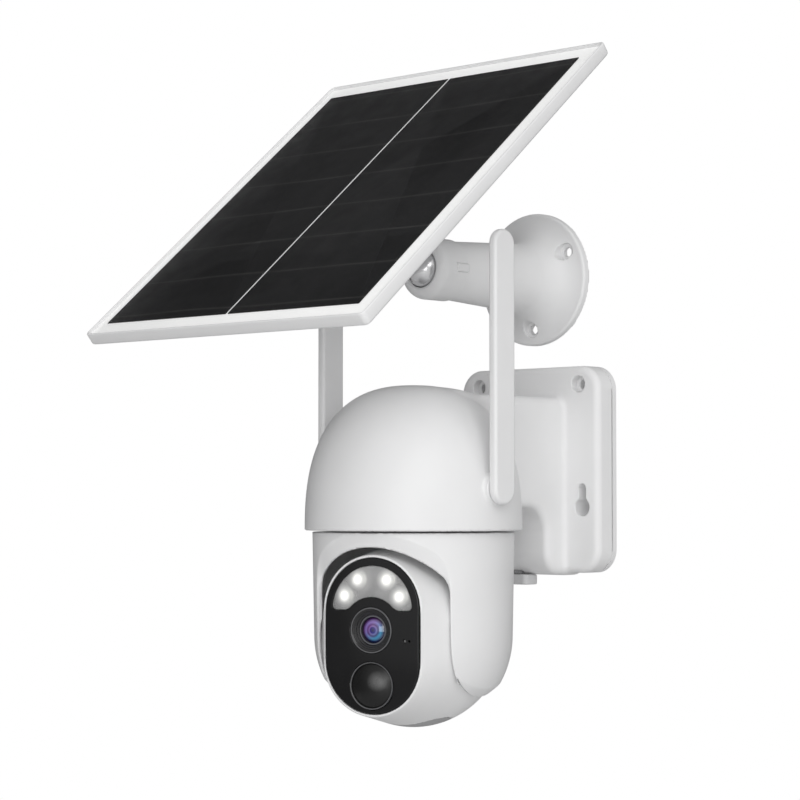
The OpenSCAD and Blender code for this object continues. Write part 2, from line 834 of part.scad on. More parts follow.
module panel_frame() color("white") at_panel() {
  difference() {
    translate([0, 0, back_z]) linear_extrude(panel_t) rounded(panel_w, panel_l, 3);
    translate([0, 0, front_z - laminate_t]) linear_extrude(panel_t)
      rounded(panel_w - 2 * lip, panel_l - 2 * lip, 2);
    translate([0, 0, back_z + frame_floor]) linear_extrude(panel_t)
      rounded(panel_w - 9, panel_l - 9, 2);
  }
  for (y = [-60, 0, 60]) translate([4 - panel_w / 2, y - 1, back_z + frame_floor - 0.5])
    cube([panel_w - 8, 2, panel_t - laminate_t - frame_floor + 0.5]);
}

module panel_sheet(z, t) {
  w = panel_w - 2 * lip - 0.4;
  l = panel_l - 2 * lip - 0.4;
  translate([0, 0, z]) linear_extrude(t) rounded(w, l, 2);
}

module panel_backsheet() color("ivory") at_panel()
  panel_sheet(front_z - laminate_t + 0.05, sheet_t);

module panel_glass() color([0.8, 0.9, 1, 0.25]) at_panel()
  panel_sheet(front_z - glass_t - 0.1, glass_t);

module solar_cell(side) at_panel() {
  w = (panel_w - 2 * border_side - cell_gap) / 2;
  translate([side * (w + cell_gap) / 2 - w / 2 - cell_shift, -panel_l / 2 + border_end,
             front_z - laminate_t + sheet_t + 0.1])
    cube([w, panel_l - 2 * border_end, cell_t]);
}
module solar_cell_left() color("black") solar_cell(-1);
module solar_cell_right() color("black") solar_cell(1);

module jbox_screw_spots() {
  for (a = [45:90:315]) rotate([0, 0, a]) translate([17.5, 0, 0]) children();
}

module junction_box() color("gainsboro") at_stud() difference() {
  translate([0, 0, back_z - jbox_t]) linear_extrude(jbox_t - seam) rounded(jbox_w, jbox_l, 6);
  translate([0, 0, back_z - jbox_t + 2.4]) linear_extrude(jbox_t)
    rounded(jbox_w - 5, jbox_l - 5, 4);
  translate([0, 0, back_z - jbox_t - cut]) cylinder(h = 5, r = insert_r + running);
  jbox_screw_spots() translate([0, 0, back_z - jbox_t - cut]) cylinder(h = 5, r = 1.3 + running);
  at_gland() translate([0, 0, -5]) cylinder(h = 10, r = gland_r + seam);
}

// The cable outlet in the junction box's lower side, with +Z out of the box
module at_gland() {
  translate([gland_x, -jbox_l / 2, back_z - jbox_t / 2]) rotate([90, 0, 0]) children();
}

module cable_gland() color("dimgray") at_stud() at_gland() difference() {
  union() {
    translate([0, 0, -3.8]) cylinder(h = 1.1, r = gland_r + gland_catch);
    translate([0, 0, -3]) cylinder(h = 4, r = gland_r);
    translate([0, 0, seam]) cylinder(h = gland_len, r1 = gland_r + 1, r2 = gland_r - 0.4);
  }
  translate([0, 0, -5]) cylinder(h = 20, r = cable_r);
  translate([0, 0, -5]) cylinder(h = 5 + gland_relief, r = cable_r + 0.8);
}

module panel_boss() color("whitesmoke") at_stud() difference() {
  union() {
    translate([0, 0, back_z - jbox_t - boss_flange_t - seam])
      cylinder(h = boss_flange_t, r = boss_flange_r);
    translate([0, 0, back_z - jbox_t - boss_h - seam]) cylinder(h = boss_h, r = boss_core_r);
  }
  translate([0, 0, 10]) cylinder(h = 60, r = insert_r + running);
  jbox_screw_spots() translate([0, 0, 10]) cylinder(h = 60, r = 1.3 + play);
}

module panel_insert() color("goldenrod") at_stud() difference() {
  translate([0, 0, back_z - jbox_t - boss_h]) cylinder(h = boss_h + 2.2, r = insert_r);
  cylinder(h = 80, r = stud_r + running);
}

module panel_boss_screws() color("silver") at_stud() jbox_screw_spots() difference() {
  z = back_z - jbox_t;
  union() {
    translate([0, 0, z - boss_flange_t - seam - 1.7]) cylinder(h = 1.6, r = 2.8);
    translate([0, 0, z - boss_flange_t - 1.2]) cylinder(h = boss_flange_t + 5, r = 1.3);
  }
  translate([0, 0, z - boss_flange_t - 3]) cylinder(h = 2, r = 1);
}

rear_cover();
housing();
housing_gasket();
housing_screws();
dome_base();
pan_motor();
main_board();
battery_left();
battery_right();
battery_holder();
charge_socket();
speaker();
antenna_pin_left();
antenna_pin_right();
port_cover();
antenna_left();
antenna_element_left();
antenna_right();
antenna_element_right();
yoke();
pan_gear();
pan_pinion();
tilt_axle_left();
tilt_axle_right();
tilt_gear();
tilt_pinion();
head_front();
head_back();
head_screws();
face_plate();
led_window();
led_reflector();
leds();
head_board();
lens_ring();
lens_barrel();
lens_glass();
sensor_board();
pir_lens();
pir_sensor();
light_guide();
microphone();
card_socket();
card_cover();
reset_button();
tilt_motor();
bracket();
bracket_collar();
ball_seat();
ball_stud();
panel_frame();
panel_backsheet();
solar_cell_left();
solar_cell_right();
panel_glass();
junction_box();
cable_gland();
panel_boss();
panel_insert();
panel_boss_screws();
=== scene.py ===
"""Solar-powered pan-and-tilt security camera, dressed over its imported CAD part.

Shapes are signed distance fields in millimetres, meshed in numpy and shaded with the
fields' own gradients, together with lathed and lofted parts. Nodes hidden inside the
housings keep their CAD shape and get materials only.
"""
import math

import bpy
import numpy as np
from mathutils import Matrix, Vector
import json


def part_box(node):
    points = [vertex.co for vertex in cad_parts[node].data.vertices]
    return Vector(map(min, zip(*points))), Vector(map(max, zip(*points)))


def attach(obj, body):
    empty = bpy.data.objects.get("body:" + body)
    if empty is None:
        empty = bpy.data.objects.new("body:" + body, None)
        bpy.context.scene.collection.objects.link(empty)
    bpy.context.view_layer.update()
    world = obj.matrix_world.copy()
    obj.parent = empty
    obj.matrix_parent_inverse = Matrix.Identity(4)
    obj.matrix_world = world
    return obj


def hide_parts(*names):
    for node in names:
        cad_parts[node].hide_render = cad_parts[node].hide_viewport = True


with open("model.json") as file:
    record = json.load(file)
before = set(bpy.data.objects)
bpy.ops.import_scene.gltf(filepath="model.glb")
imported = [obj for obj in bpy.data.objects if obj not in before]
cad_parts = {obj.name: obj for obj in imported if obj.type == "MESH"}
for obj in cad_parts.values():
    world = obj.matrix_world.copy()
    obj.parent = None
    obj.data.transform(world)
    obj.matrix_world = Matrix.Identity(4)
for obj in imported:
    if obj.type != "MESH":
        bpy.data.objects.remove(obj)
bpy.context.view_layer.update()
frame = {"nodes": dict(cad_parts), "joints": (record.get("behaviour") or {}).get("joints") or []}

MM = 0.001
COARSE = 1.0
joints = {j["name"]: j for j in frame["joints"]}


# ---------- where things are, in millimetres ----------

def joint_at(name):
    return np.array(joints[name]["pos_m"]) / MM


def low_of(node):
    return np.array(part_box(node)[0]) / MM


def high_of(node):
    return np.array(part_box(node)[1]) / MM


PAN = joint_at("pan_turn")
TILT = joint_at("head_tilt")
TILT_AXIS = Vector(joints["head_tilt"]["axis"])
BALL = joint_at("seat_swivel")
STUD_AXIS = Vector(joints["panel_spin"]["axis"])
RIM = low_of("dome_base")[2] - 3

BOX_HALF_W = high_of("rear_cover")[0]
BOX_HALF_H = high_of("rear_cover")[2]
BOX_D = 16
BOX_CORNER = 13
COVER_T = 3
SEAM = 0.1
BLOCK_HALF_W = 25.5
BLOCK_TOP = 38.5
BLOCK_BOTTOM = -56.5
BLOCK_D = 30
SHELL = 2.5
NECK_LOW = RIM + 11.7
DOME_R = 56
DOME_H = 74.6
DOME_POWER = 2.5
ANTENNA_X = 60
ANTENNA_Z = RIM + 21

FACE_D = 47.4
PLATE_BACK = 44.9
PLATE_W = 51.8
PLATE_H = 77.4
PLATE_LIFT = 1.6
FACE_Z = PLATE_LIFT + PLATE_H / 2 - PLATE_W / 2
LENS_LIFT = 4.5
PIR_DROP = 22.9
HEAD_R = 47.2
PORT_X = -2
PORT_DEPTH = 23
FLANGE_R = 36.5
BALL_OUT = -BALL[1]
BALL_R = 10.5


def placed(origin, turn=Matrix.Identity(3)):
    """Matrix of a local frame whose origin is in millimetres."""
    return Matrix.Translation(Vector(origin) * MM) @ turn.to_4x4()


PAN_TURN = Matrix.Rotation(math.atan2(TILT_AXIS.y, TILT_AXIS.x), 3, "Z")
OUTWARD = Matrix.Rotation(math.radians(90), 3, "X")
STUD_TURN = Matrix.Rotation(math.atan2(-STUD_AXIS.y, STUD_AXIS.z), 3, "X")
WORLD = placed((0, 0, 0))
HEAD = placed(TILT, PAN_TURN)
STUD = placed(BALL, STUD_TURN)


def facing(x, z, depth=0):
    """Frame on the head's face with +Z pointing out of it."""
    return HEAD @ Matrix.Translation(Vector((x, -depth, z)) * MM) @ OUTWARD.to_4x4()


# ---------- distance field tools ----------

def smooth_or(a, b, r):
    """Union of two fields with a round fillet in the corner between them."""
    return np.maximum(r, np.minimum(a, b)) - np.hypot(np.maximum(r - a, 0), np.maximum(r - b, 0))


def smooth_and(a, b, r):
    """Overlap of two fields with a rounded outer edge."""
    return np.minimum(-r, np.maximum(a, b)) + np.hypot(np.maximum(r + a, 0), np.maximum(r + b, 0))


def smooth_cut(a, b, r):
    return smooth_and(a, -b, r)


def rect_2d(u, v, half_w, half_h, r):
    du = np.abs(u) - half_w + r
    dv = np.abs(v) - half_h + r
    return np.hypot(np.maximum(du, 0), np.maximum(dv, 0)) + np.minimum(np.maximum(du, dv), 0) - r


def oval_2d(u, v, w, h):
    return np.hypot(u, np.maximum(np.abs(v) - (h - w) / 2, 0)) - w / 2


def span(v, low, high):
    """Negative between low and high."""
    return np.maximum(low - v, v - high)


def ball_field(x, y, z, r):
    return np.sqrt(x * x + y * y + z * z) - r


def oval_field_2d(u, v, a, b, power):
    """Superellipse outline, with half axes a and b."""
    u = np.abs(u) / a
    v = np.abs(v) / b
    g = np.maximum((u ** power + v ** power) ** (1 / power), 0.05)
    slope = np.hypot(u ** (power - 1) / a, v ** (power - 1) / b) / g ** (power - 1)
    return (g - 1) / np.maximum(slope, 1e-4)


def grid_line(low, high, step, fine):
    """Grid positions from low to high, closer together inside each fine band."""
    cuts = {low, high}
    for a, b, _ in fine:
        cuts |= {max(a, low), min(b, high)}
    cuts = sorted(cuts)
    line = [low]
    for a, b in zip(cuts, cuts[1:]):
        sizes = [s for f0, f1, s in fine if f0 <= (a + b) / 2 <= f1]
        count = max(1, math.ceil((b - a) / min(sizes + [step])))
        line.extend(np.linspace(a, b, count + 1)[1:])
    return np.array(line)


BLOCK = 8
TETRA = ((1, -1, -1), (-1, -1, 1), (-1, 1, -1), (1, 1, 1))


def slope_of(field, p, h=0.02):
    """Field value and gradient at each point."""
    total = np.zeros(len(p))
    slope = np.zeros_like(p)
    for corner in TETRA:
        way = np.array(corner, float)
        d = field(*(p + h * way).T)
        total += d
        slope += d[:, None] * way
    return total / 4, slope / (4 * h)


def sample(field, lines):
    """Field values on the grid, worked out in full only in blocks near the surface."""
    counts = [len(line) for line in lines]
    starts = [np.arange(0, n - 1, BLOCK) for n in counts]
    ends = [np.minimum(s + BLOCK, n - 1) for s, n in zip(starts, counts)]
    mids = [(line[s] + line[e]) / 2 for line, s, e in zip(lines, starts, ends)]
    halves = [(line[e] - line[s]) / 2 for line, s, e in zip(lines, starts, ends)]
    centre = np.meshgrid(*mids, indexing="ij")
    half = np.meshgrid(*halves, indexing="ij")
    rough = field(*[c.ravel() for c in centre]).reshape(centre[0].shape)
    values = rough
    for axis, n in enumerate(counts):
        values = np.repeat(values, BLOCK, axis=axis)
        values = np.take(values, np.minimum(np.arange(n), values.shape[axis] - 1), axis=axis)
    reach = 1.35 * np.sqrt(half[0] ** 2 + half[1] ** 2 + half[2] ** 2)
    near = np.argwhere(np.abs(rough) < reach)
    inner = np.arange(BLOCK + 1)
    for part in np.array_split(near, max(1, len(near) // 700)):
        ix, iy, iz = [np.minimum(starts[a][part[:, a]][:, None] + inner, counts[a] - 1)
                      for a in range(3)]
        ix, iy, iz = ix[:, :, None, None], iy[:, None, :, None], iz[:, None, None, :]
        full = np.broadcast_arrays(lines[0][ix], lines[1][iy], lines[2][iz])
        values[ix, iy, iz] = field(*[f.ravel() for f in full]).reshape(full[0].shape)
    return values


def surface_net(field, low, high, step, fine=((), (), ())):
    """Points, quads and normals of the field's zero surface."""
    lines = [grid_line(low[a], high[a], step * COARSE, fine[a]) for a in range(3)]
    values = sample(field, lines)
    inside = values < 0
    total = inside.astype(np.int8)
    for a in range(3):
        total = np.take(total, range(total.shape[a] - 1), a) + np.take(total, range(1, total.shape[a]), a)
    cells = np.argwhere((total > 0) & (total < 8))
    number = np.full(total.shape, -1, np.int64)
    number[tuple(cells.T)] = np.arange(len(cells))
    points = np.zeros((len(cells), 3))
    hits = np.zeros(len(cells))
    for a in range(3):
        b, c = (a + 1) % 3, (a + 2) % 3
        for ob in (0, 1):
            for oc in (0, 1):
                first = cells.copy()
                first[:, b] += ob
                first[:, c] += oc
                second = first.copy()
                second[:, a] += 1
                va = values[tuple(first.T)]
                vb = values[tuple(second.T)]
                hit = (va < 0) != (vb < 0)
                t = np.where(hit, va / np.where(hit, va - vb, 1), 0)
                where = np.stack([lines[k][first[:, k]] for k in range(3)], axis=1)
                where[:, a] += t * (lines[a][second[:, a]] - lines[a][first[:, a]])
                points += np.where(hit[:, None], where, 0)
                hits += hit
    points /= hits[:, None]
    quads = []
    for a in range(3):
        b, c = (a + 1) % 3, (a + 2) % 3
        n = inside.shape[a]
        lower = np.take(inside, range(n - 1), a)
        upper = np.take(inside, range(1, n), a)
        edge = np.argwhere(lower != upper)
        edge = edge[(edge[:, b] > 0) & (edge[:, c] > 0)]
        edge = edge[(edge[:, b] < inside.shape[b] - 1) & (edge[:, c] < inside.shape[c] - 1)]
        corners = []
        for ob, oc in ((-1, -1), (0, -1), (0, 0), (-1, 0)):
            cell = edge.copy()
            cell[:, b] += ob
            cell[:, c] += oc
            corners.append(number[tuple(cell.T)])
        quad = np.stack(corners, axis=1)
        turned = ~lower[tuple(edge.T)]
        quad[turned] = quad[turned][:, ::-1]
        quads.append(quad)
    quads = np.concatenate(quads)
    limit = 0.5 * step * COARSE
    for _ in range(3):
        d, slope = slope_of(field, points)
        move = -d[:, None] * slope / np.maximum((slope ** 2).sum(1), 0.05)[:, None]
        size = np.linalg.norm(move, axis=1)
        points += move * np.minimum(1, limit / np.maximum(size, 1e-9))[:, None]
    _, slope = slope_of(field, points, 0.05)
    normals = slope / np.maximum(np.linalg.norm(slope, axis=1), 1e-6)[:, None]
    return points, quads, normals


# ---------- pieces ----------

def finish_piece(obj, where, body, nodes, look):
    bpy.context.scene.collection.objects.link(obj)
    obj.matrix_world = where
    obj.data.materials.append(look)
    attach(obj, body)
    if nodes:
        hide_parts(*nodes)
    return obj


def net_piece(name, field, low, high, step, where, body, nodes, look, fine=((), (), ()),
              flip_x=False):
    points, quads, normals = surface_net(field, low, high, step, fine)
    if flip_x:
        points = points * (-1, 1, 1)
        normals = normals * (-1, 1, 1)
        quads = quads[:, ::-1]
    mesh = bpy.data.meshes.new(name)
    mesh.vertices.add(len(points))
    mesh.vertices.foreach_set("co", (points * MM).ravel())
    mesh.loops.add(quads.size)
    mesh.loops.foreach_set("vertex_index", quads.ravel())
    mesh.polygons.add(len(quads))
    mesh.polygons.foreach_set("loop_start", np.arange(0, quads.size, 4))
    mesh.polygons.foreach_set("use_smooth", np.ones(len(quads), bool))
    mesh.update(calc_edges=True)
    mesh.normals_split_custom_set_from_vertices(normals)
    return finish_piece(bpy.data.objects.new(name, mesh), where, body, nodes, look)


def solid_piece(name, parts, where, body, nodes, look, sharp=35):
    """A piece from one or more (points, faces) shells in millimetres."""
    points = []
    faces = []
    for part_points, part_faces in parts:
        base = len(points)
        points.extend(Vector(p) * MM for p in part_points)
        faces.extend(tuple(base + i for i in f) for f in part_faces)
    mesh = bpy.data.meshes.new(name)
    mesh.from_pydata(points, [], faces)
    mesh.shade_smooth()
    mesh.set_sharp_from_angle(angle=math.radians(sharp))
    return finish_piece(bpy.data.objects.new(name, mesh), where, body, nodes, look)


def filleted(corners, closed, steps=5):
    """Outline through (a, b, radius) corners, each turned into an arc of that radius."""
    n = len(corners)
    out = []
    for i, (a, b, r) in enumerate(corners):
        here = np.array((a, b), float)
        if r <= 0 or (not closed and i in (0, n - 1)):
            out.append(tuple(here))
            continue
        back = np.array(corners[i - 1][:2], float) - here
        ahead = np.array(corners[(i + 1) % n][:2], float) - here
        back /= np.linalg.norm(back)
        ahead /= np.linalg.norm(ahead)
        half = math.acos(max(-1, min(1, float(back @ ahead)))) / 2
        middle = here + (back + ahead) / np.linalg.norm(back + ahead) * r / math.sin(half)
        start = here + back * r / math.tan(half) - middle
        end = here + ahead * r / math.tan(half) - middle
        turn = math.pi - 2 * half
        for k in range(steps + 1):
            t = k / steps
            arc = (start * math.sin((1 - t) * turn) + end * math.sin(t * turn)) / math.sin(turn)
            out.append(tuple(middle + arc))
    return out


def lathe(profile, closed=False, sides=96):
    """Solid of revolution about Z from a profile of (radius, height), run anticlockwise."""
    points = []
    rows = []
    for r, z in profile:
        if r < 1e-6:
            rows.append([len(points)] * sides)
            points.append((0, 0, z))
        else:
            rows.append(list(range(len(points), len(points) + sides)))
            for k in range(sides):
                a = 2 * math.pi * k / sides
                points.append((r * math.cos(a), r * math.sin(a), z))
    faces = []
    pairs = list(zip(rows, rows[1:]))
    if closed:
        pairs.append((rows[-1], rows[0]))
    for low, high in pairs:
        for k in range(sides):
            m = (k + 1) % sides
            face = [low[k], low[m], high[m], high[k]]
            face = [v for i, v in enumerate(face) if v != face[i - 1]]
            if len(face) > 2:
                faces.append(face)
    return points, faces


def rounded_loop(half_w, half_h, r, steps=6):
    loop = []
    for sx, sy, start in ((1, 1, 0), (-1, 1, 90), (-1, -1, 180), (1, -1, 270)):
        for k in range(steps + 1):
            a = math.radians(start + 90 * k / steps)
            loop.append((sx * (half_w - r) + r * math.cos(a), sy * (half_h - r) + r * math.sin(a)))
    return loop


def loft(loops):
    """Solid through a stack of (outline, height) loops with equal counts, capped at both ends."""
    points = []
    for outline, z in loops:
        points.extend((u, v, z) for u, v in outline)
    n = len(loops[0][0])
    faces = [tuple(reversed(range(n))), tuple(range(len(points) - n, len(points)))]
    for row in range(len(loops) - 1):
        base = row * n
        for k in range(n):
            m = (k + 1) % n
            faces.append((base + k, base + m, base + n + m, base + n + k))
    return points, faces


def slab(half_w, half_h, corner, low, high, edge, steps=3):
    """Rounded-rectangle slab with rounded edges between two heights."""
    loops = []
    for k in range(steps + 1):
        a = math.radians(90 * k / steps)
        inset = edge * (1 - math.sin(a))
        loops.append((rounded_loop(half_w - inset, half_h - inset, max(corner - inset, 0.05)),
                      low + edge * (1 - math.cos(a))))
    for k in range(steps + 1):
        a = math.radians(90 * k / steps)
        inset = edge * (1 - math.cos(a))
        loops.append((rounded_loop(half_w - inset, half_h - inset, max(corner - inset, 0.05)),
                      high - edge * (1 - math.sin(a))))
    return loft(loops)


def moved(part, x=0, y=0, z=0):
    points, faces = part
    return [(a + x, b + y, c + z) for a, b, c in points], faces


# ---------- materials ----------

class Shader:
    """Node tree of a material or a world, with short ways to add to it."""

    def __init__(self, owner, main, place):
        owner.use_nodes = True
        self.owner = owner
        self.nodes = owner.node_tree.nodes
        self.links = owner.node_tree.links
        self.main = self.nodes[main]
        self.place = self.nodes.new("ShaderNodeTexCoord").outputs[place]

    def feed(self, node, inputs):
        """Link or set each named or numbered input."""
        for key, value in inputs.items():
            if isinstance(value, bpy.types.NodeSocket):
                self.links.new(value, node.inputs[key])
            else:
                node.inputs[key].default_value = value

    def made(self, inputs):
        self.feed(self.main, inputs)
        return self.owner

    def node(self, kind, inputs, **settings):
        node = self.nodes.new("ShaderNode" + kind)
        for key, value in settings.items():
            setattr(node, key, value)
        self.feed(node, inputs)
        return node

    def noise(self, scale, detail=3.0):
        node = self.node("TexNoise", {"Vector": self.place, "Scale": scale, "Detail": detail})
        return node.outputs["Fac"]

    def ranged(self, value, low, high, start=0.3, end=0.7):
        node = self.node("MapRange", {"Value": value, "From Min": start, "From Max": end,
                                      "To Min": low, "To Max": high})
        return node.outputs["Result"]

    def ramp(self, value, stops):
        """Colour along (position, colour) stops."""
        node = self.node("ValToRGB", {"Fac": value})
        elements = node.color_ramp.elements
        while len(elements) < len(stops):
            elements.new(0.5)
        for element, (at, colour) in zip(elements, stops):
            element.position = at
            element.color = (*colour, 1)
        return node.outputs["Color"]

    def vector(self, operation, value, other=(0, 0, 0)):
        node = self.node("VectorMath", {0: value, 1: other}, operation=operation)
        return node.outputs["Vector" if operation == "MULTIPLY" else "Value"]

    def radius(self, limit):
        """Distance from the piece's own Z axis, as a share of limit millimetres."""
        flat = self.vector("MULTIPLY", self.place, (1, 1, 0))
        return self.ranged(self.vector("LENGTH", flat), 0, 1, 0, limit * MM)

    def mix(self, factor, a, b):
        node = self.node("Mix", {"Factor": factor, "A": a, "B": b}, data_type="RGBA")
        return node.outputs["Result"]

    def bump(self, height, strength):
        node = self.node("Bump", {"Height": height, "Strength": strength, "Distance": 0.0002})
        self.links.new(node.outputs["Normal"], self.main.inputs["Normal"])


def new_look(name):
    return Shader(bpy.data.materials.new(name), "Principled BSDF", "Object")


def grey(v):
    return (v, v, v)


def shade(colour, factor):
    return tuple(min(1, c * factor) for c in colour)


def surface(name, colour, rough, metal=0.0, grain=1600, bump=0.06, vary=0.05, specular=0.5, painted_glow=0.0):
    """Material with fine grain, patchy roughness, a slight drift of colour and an optional painted glow."""
    look = new_look(name)
    broad = look.noise(45)
    look.bump(look.noise(grain, 2), bump)
    return look.made({
        "Base Color": look.ramp(broad, [(0.3, shade(colour, 1 - vary)), (0.7, shade(colour, 1 + vary))]),
        "Roughness": look.ranged(broad, rough * 0.88, min(1, rough * 1.12)),
        "Metallic": metal,
        "Specular IOR Level": specular,
        "Emission Color": (*colour, 1),
        "Emission Strength": painted_glow})


# Centre of the painted reflection patch on the motion lens dome.
REFLECTION_SPOT = Vector((4.2, 2.6, 50.6)) * MM


def ringed(name, stops, limit, rough, specular=0.5, coat=0.0, pale=0.0):
    """Colours in rings round the piece's own Z axis, to limit millimetres, and a pale patch. Grey rings
    near the rims are painted highlights and the pale patch is a painted reflection.
    """
    look = new_look(name)
    rings = look.ramp(look.radius(limit), [(at / limit, c) for at, c in stops])
    # Painted reflection: a pale grey patch of strength pale, fading out between 1.5 and 5.5 mm from its
    # centre.
    patch = look.ranged(look.vector("DISTANCE", look.place, REFLECTION_SPOT), pale, 0, 0.0015, 0.0055)
    look.bump(look.noise(2500, 2), 0.04)
    return look.made({
        "Base Color": look.mix(patch, rings, (0.30, 0.30, 0.30, 1)),
        "Roughness": look.ranged(look.noise(120), rough * 0.8, rough * 1.2),
        "Specular IOR Level": specular,
        "Coat Weight": coat})


WHITE = surface("white_plastic", (0.86, 0.86, 0.863), 0.42, grain=2600, bump=0.08, vary=0.012)
BLACK_GLOSS = surface("gloss_black", (0.006, 0.006, 0.0065), 0.16, grain=900, bump=0.01, vary=0.2,
                      specular=0.32)
RUBBER_BLACK = surface("black_rubber", (0.03, 0.03, 0.032), 0.72, bump=0.25, vary=0.2)
RUBBER_GREY = surface("grey_rubber", (0.66, 0.66, 0.665), 0.62, bump=0.2, vary=0.05)
LID = surface("card_lid", (0.40, 0.40, 0.405), 0.5, bump=0.12, vary=0.03)
STEEL = surface("screw_steel", (0.62, 0.61, 0.60), 0.28, metal=1.0, bump=0.12, vary=0.08)
PLATED = surface("plated_metal", (0.72, 0.72, 0.73), 0.22, metal=1.0, bump=0.08, vary=0.06)
MOTOR = surface("motor_steel", (0.50, 0.50, 0.51), 0.35, metal=1.0, bump=0.15, vary=0.1)
BOARD = surface("circuit_board", (0.02, 0.16, 0.07), 0.4, grain=700, bump=0.3, vary=0.3)
WRAP = surface("cell_wrap", (0.03, 0.12, 0.42), 0.35, bump=0.06, vary=0.1)
BLACK = surface("black_plastic", (0.02, 0.02, 0.021), 0.45, bump=0.12, vary=0.2)
COPPER = surface("copper", (0.80, 0.42, 0.24), 0.3, metal=1.0, bump=0.1, vary=0.1)
NYLON = surface("gear_nylon", (0.78, 0.77, 0.72), 0.4, bump=0.08, vary=0.03)
BRASS = surface("brass", (0.78, 0.60, 0.30), 0.27, metal=1.0, bump=0.1, vary=0.08)
CHROME = surface("ball_metal", (0.74, 0.74, 0.75), 0.2, metal=1.0, bump=0.06, vary=0.05)
# The white back sheet gets a painted glow that brightens it.
SHEET = surface("white_sheet", (0.92, 0.92, 0.915), 0.5, grain=3000, bump=0.05, vary=0.01, painted_glow=0.28)


# ---------- wall unit ----------

def dome_field(x, y, z, grow=0.0):
    """Superellipse dome, carried straight down below the rim."""
    rho = np.hypot(x - PAN[0], y - PAN[1])
    up = np.maximum(z - RIM, 0)
    r = DOME_R + grow
    h = DOME_H + grow
    g = ((rho / r) ** DOME_POWER + (up / h) ** DOME_POWER) ** (1 / DOME_POWER)
    g = np.maximum(g, 0.05)
    k = DOME_POWER - 1
    slope = np.hypot(rho ** k / r ** DOME_POWER, up ** k / h ** DOME_POWER) / g ** k
    return (g - 1) / np.maximum(slope, 1e-3)


def neck_field(x, y, z):
    """Battery block and neck: one side profile with rounded edges."""
    out = -y
    block = smooth_and(out - BLOCK_D, BLOCK_BOTTOM - z, 12)
    neck = np.maximum(NECK_LOW - z, out - 100)
    profile = smooth_or(block, neck, 14)
    upper = smooth_and(np.abs(x) - BLOCK_HALF_W, z - BLOCK_TOP, 5.5)
    return smooth_and(upper, profile, 4)


def housing_outer(x, y, z):
    box = smooth_and(rect_2d(x, z, BOX_HALF_W, BOX_HALF_H, BOX_CORNER), -y - BOX_D, 3.8)
    body = smooth_or(box, neck_field(x, y, z), 3)
    return smooth_or(body, dome_field(x, y, z), 5)


def keyhole_2d(x, z):
    side = np.abs(x) - 37.5
    slot = oval_2d(side, z + 15.3, 5, 15)
    return smooth_or(np.hypot(side, z + 20.3) - 4.8, slot, 0.6)


def housing_field(x, y, z):
    out = -y
    outer = housing_outer(x, y, z)
    shell = np.maximum(outer, -(outer + SHELL))
    shell = smooth_and(shell, RIM - z + np.where(out > 50, 0, -100), 0.8)
    boss_rho = np.hypot(y - PAN[1], z - ANTENNA_Z)
    boss = smooth_and(boss_rho - 7.8, span(np.abs(x), 52, 57.2), 0.7)
    boss = smooth_or(shell, boss, 1.6)
    boss = np.minimum(boss, np.maximum(boss_rho - 5.8, span(np.abs(x), 48, 55)))
    posts = np.hypot(np.abs(x) - 35, z - 45.6) - 6
    for px, pz in ((30, -42), (16, 45)):
        posts = np.minimum(posts, np.hypot(np.abs(x) - px, z - pz) - 3.4)
    posts = np.minimum(posts, keyhole_2d(x, z) - 1.6)
    solid = np.minimum(boss, np.maximum(posts, out - 15))
    hole = np.hypot(np.abs(x) - 35, z - 45.6)
    screws = np.minimum(hole - 2.6, np.maximum(hole - 4.4, 11 - out))
    screws = np.maximum(screws, out - 20)
    solid = smooth_cut(solid, screws, 0.4)
    solid = smooth_cut(solid, np.maximum(keyhole_2d(x, z), out - 20), 0.4)
    pilots = np.minimum(np.hypot(np.abs(x) - 30, z + 42), np.hypot(np.abs(x) - 16, z - 45)) - 1.35
    solid = np.maximum(solid, -np.maximum(pilots, out - 11.2))
    pins = np.maximum(boss_rho - 2.55, span(np.abs(x), 50.5, 60))
    solid = np.maximum(solid, -pins)
    port = np.maximum(rect_2d(x - PORT_X, y + PORT_DEPTH, 4.6, 1.7, 0.6), span(z, -62, -51))
    solid = np.maximum(solid, -port)
    near = np.clip(np.round((x + 28.5) / 3), -2, 2) * 3 - 28.5
    grille = np.maximum(np.hypot(x - near, y + 8.8) - 0.8, span(z, -60, -50))
    solid = np.maximum(solid, -grille)
    return np.maximum(solid, COVER_T + SEAM - out)


net_piece("camera_housing", housing_field, (-59, -165.5, -58.5), (59, -2, 57), 1.05, WORLD,
          "wall_unit", ["housing"], WHITE,
          fine=(((-36, -21, 0.75),), ((-10.6, -7, 0.6), (-22, -15.5, 0.8)), ((-57.4, -52, 0.9),)))


def antenna_field(x, y, z):
    """Paddle antenna in the frame of its pivot, seen from the right side."""
    blade = smooth_and(oval_2d(y, z - 61.125, 15.5, 137.75), np.abs(x) - 2.5, 1.7)
    pin = np.maximum(np.hypot(y, z) - 2.55, span(x, -4, 0.8))
    wire = np.maximum(np.hypot(x, y) - 1.0, span(z, 0, 120))
    return np.maximum(blade, -np.minimum(pin, wire))


for side, tag in ((1, "right"), (-1, "left")):
    net_piece("antenna_paddle_" + tag, antenna_field, (-3.1, -8.4, -8.4), (3.1, 8.4, 130.8), 0.62,
              placed((PAN[0] + side * ANTENNA_X, PAN[1], ANTENNA_Z)), "antenna_" + tag,
              ["antenna_" + tag], WHITE, flip_x=side < 0)


# ---------- pan body ----------

ARM_INSIDE = 36


